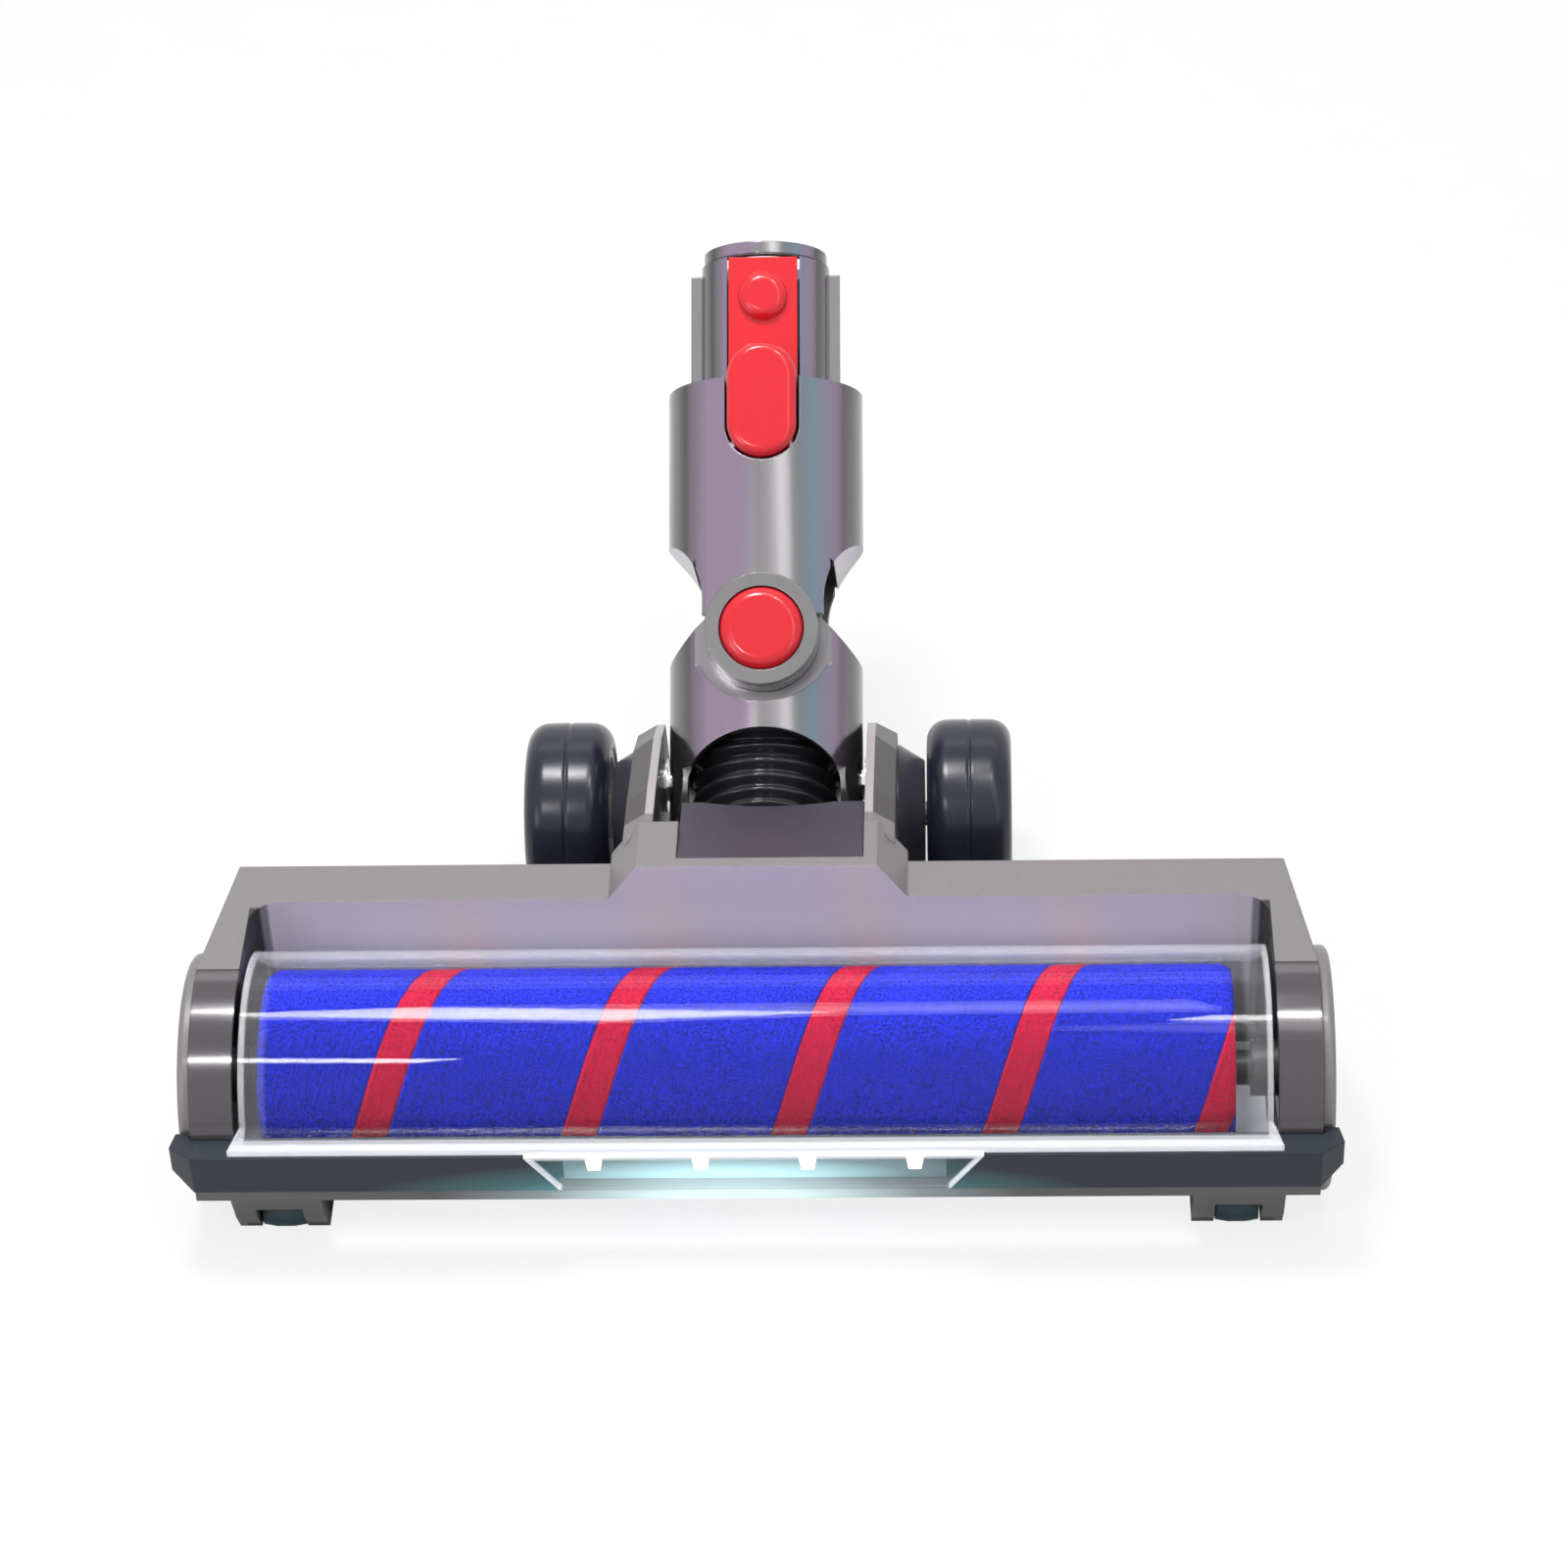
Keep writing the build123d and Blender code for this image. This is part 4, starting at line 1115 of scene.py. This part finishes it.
@dataclass(frozen=True)
class SoftBox:
    """Rectangular lamp that looks at the head. Lengths are in metres, its power is in watts."""

    name: str
    place: Point
    size: tuple[float, float]
    power: float
    colour: Colour = WHITE
    aim: Point = (0.0, -0.03, 0.04)

    def hang(self) -> None:
        """Put the lamp into the scene."""
        data = bpy.data.lights.new(self.name, "AREA")
        data.shape = "RECTANGLE"
        data.size, data.size_y = self.size
        data.energy = self.power
        data.color = self.colour
        made = bpy.data.objects.new(self.name, data)
        made.location = self.place
        look = Vector(self.aim) - Vector(self.place)
        made.rotation_euler = look.to_track_quat("-Z", "Y").to_euler()
        bpy.context.scene.collection.objects.link(made)


LAMPS = (
    SoftBox("overhead", (-0.02, 0.2, 1.15), (0.36, 0.2), 1.4),
    SoftBox("overhead_core", (-0.17, 0.1, 1.15), (0.18, 0.26), 6.6),
    SoftBox("front_left", (-0.95, -0.9, 0.6), (0.5, 0.7), 3.2, COOL),
    SoftBox("front_right", (0.95, -0.85, 0.6), (0.4, 0.7), 1.0, (0.97, 0.98, 1.0)),
    SoftBox("key_left", (-0.27, -0.75, 1.0), (0.13, 0.08), 1.6),
    SoftBox("neck_right", (0.42, -0.4, 1.1), (0.25, 0.8), 1.4),
    SoftBox("cheek_right", (0.2, -0.08, 1.2), (0.1, 0.1), 1.5),
    SoftBox("back_strip", (0.0, 0.8, 0.8), (1.2, 0.2), 1.0),
)


@dataclass
class Studio:
    """Camera, lamps, floor and surroundings. Lengths are in mm, angles in degrees."""

    target: Point = (8.45, 4.0 + ROLLER_Y, 106.9)
    distance: float = 994.56
    elevation: float = 40.0
    yaw: float = 3.15
    roll: float = -2.55
    sensor: float = 36.0
    focal: float = 36.0 * 4640.3 / 1600.0
    soft_light: float = 0.28
    seen_light: float = 1.0
    floor_white: float = 0.82

    def build(self) -> None:
        """Set up camera, lamps, floor and world."""
        bpy.context.scene.view_settings.view_transform = "Standard"
        self.camera()
        for lamp in LAMPS:
            lamp.hang()
        self.surroundings()
        self.floor()

    def camera(self) -> None:
        """Place the camera by its angles about the target."""
        up_angle, turn, roll = (math.radians(a) for a in (self.elevation, self.yaw, self.roll))
        level = math.cos(up_angle)
        back = Vector((math.sin(turn) * level, -math.cos(turn) * level, math.sin(up_angle)))
        right = Vector((math.cos(turn), math.sin(turn), 0.0))
        up = back.cross(right)
        axes = (
            math.cos(roll) * right + math.sin(roll) * up,
            -math.sin(roll) * right + math.cos(roll) * up,
            back,
        )
        data = bpy.data.cameras.new("camera")
        data.lens = self.focal
        data.sensor_width = self.sensor
        data.clip_start = 0.01
        made = bpy.data.objects.new("camera", data)
        place = (Vector(self.target) + back * self.distance) * MM
        made.matrix_world = Matrix.Translation(place) @ Matrix(axes).transposed().to_4x4()
        bpy.context.scene.collection.objects.link(made)
        bpy.context.scene.camera = made

    def surroundings(self) -> None:
        """Soft even light all round; the camera, gloss and glass see white."""
        world = bpy.data.worlds.new("surroundings")
        bpy.context.scene.world = world
        world.use_nodes = True
        tree = world.node_tree
        ground = tree.nodes["Background"]
        ground.inputs["Color"].default_value = (1.0, 1.0, 1.0, 1.0)
        path = tree.nodes.new("ShaderNodeLightPath")
        seen = tree.nodes.new("ShaderNodeMath")
        seen.operation = "MAXIMUM"
        tree.links.new(path.outputs["Is Camera Ray"], seen.inputs[0])
        tree.links.new(path.outputs["Is Glossy Ray"], seen.inputs[1])
        most = tree.nodes.new("ShaderNodeMath")
        most.operation = "MAXIMUM"
        tree.links.new(seen.outputs["Value"], most.inputs[0])
        tree.links.new(path.outputs["Is Transmission Ray"], most.inputs[1])
        level = tree.nodes.new("ShaderNodeMapRange")
        level.inputs["To Min"].default_value = self.soft_light
        level.inputs["To Max"].default_value = self.seen_light
        tree.links.new(most.outputs["Value"], level.inputs["Value"])
        tree.links.new(level.outputs["Result"], ground.inputs["Strength"])

    def floor(self) -> None:
        """Pale floor that keeps the head's shadow and goes to white for the camera."""
        sheet = NodeSheet("pale_floor")
        sheet.set(Roughness=0.8)
        grain = sheet.noise(40.0, 2.0)
        sheet.link(sheet.ramp(grain, (0.9, 0.9, 0.9), (0.94, 0.94, 0.94)), sheet.shader.inputs["Base Color"])
        bright = sheet.add("ShaderNodeEmission")
        path = sheet.add("ShaderNodeLightPath")
        share = sheet.add("ShaderNodeMath", operation="MULTIPLY")
        share.inputs[1].default_value = self.floor_white
        sheet.link(path.outputs["Is Camera Ray"], share.inputs[0])
        mixer = sheet.add("ShaderNodeMixShader")
        sheet.link(share.outputs["Value"], mixer.inputs["Fac"])
        sheet.link(sheet.shader.outputs["BSDF"], mixer.inputs[1])
        sheet.link(bright.outputs["Emission"], mixer.inputs[2])
        sheet.link(mixer.outputs["Shader"], sheet.output.inputs["Surface"])
        side = np.linspace(-3000.0, 3000.0, 3)
        across, along = np.meshgrid(side, side)
        points = np.stack([across, along, np.full(across.shape, -0.05)], axis=-1)
        made = mesh_piece("floor", points, ring_quads(3, 3, False, False).tolist(), sheet.material)


def main() -> None:
    """Build the studio and every sub-assembly."""
    logging.basicConfig(level=logging.INFO, format="%(name)s: %(message)s")
    Studio().build()
    finishes = Finishes()
    for assembly in (Housing(finishes), SoftRoller(finishes), RearWheels(finishes), Neck(finishes)):
        assembly.build()
        LOG.info("built %s", type(assembly).__name__)


if __name__ == "__main__":
    main()
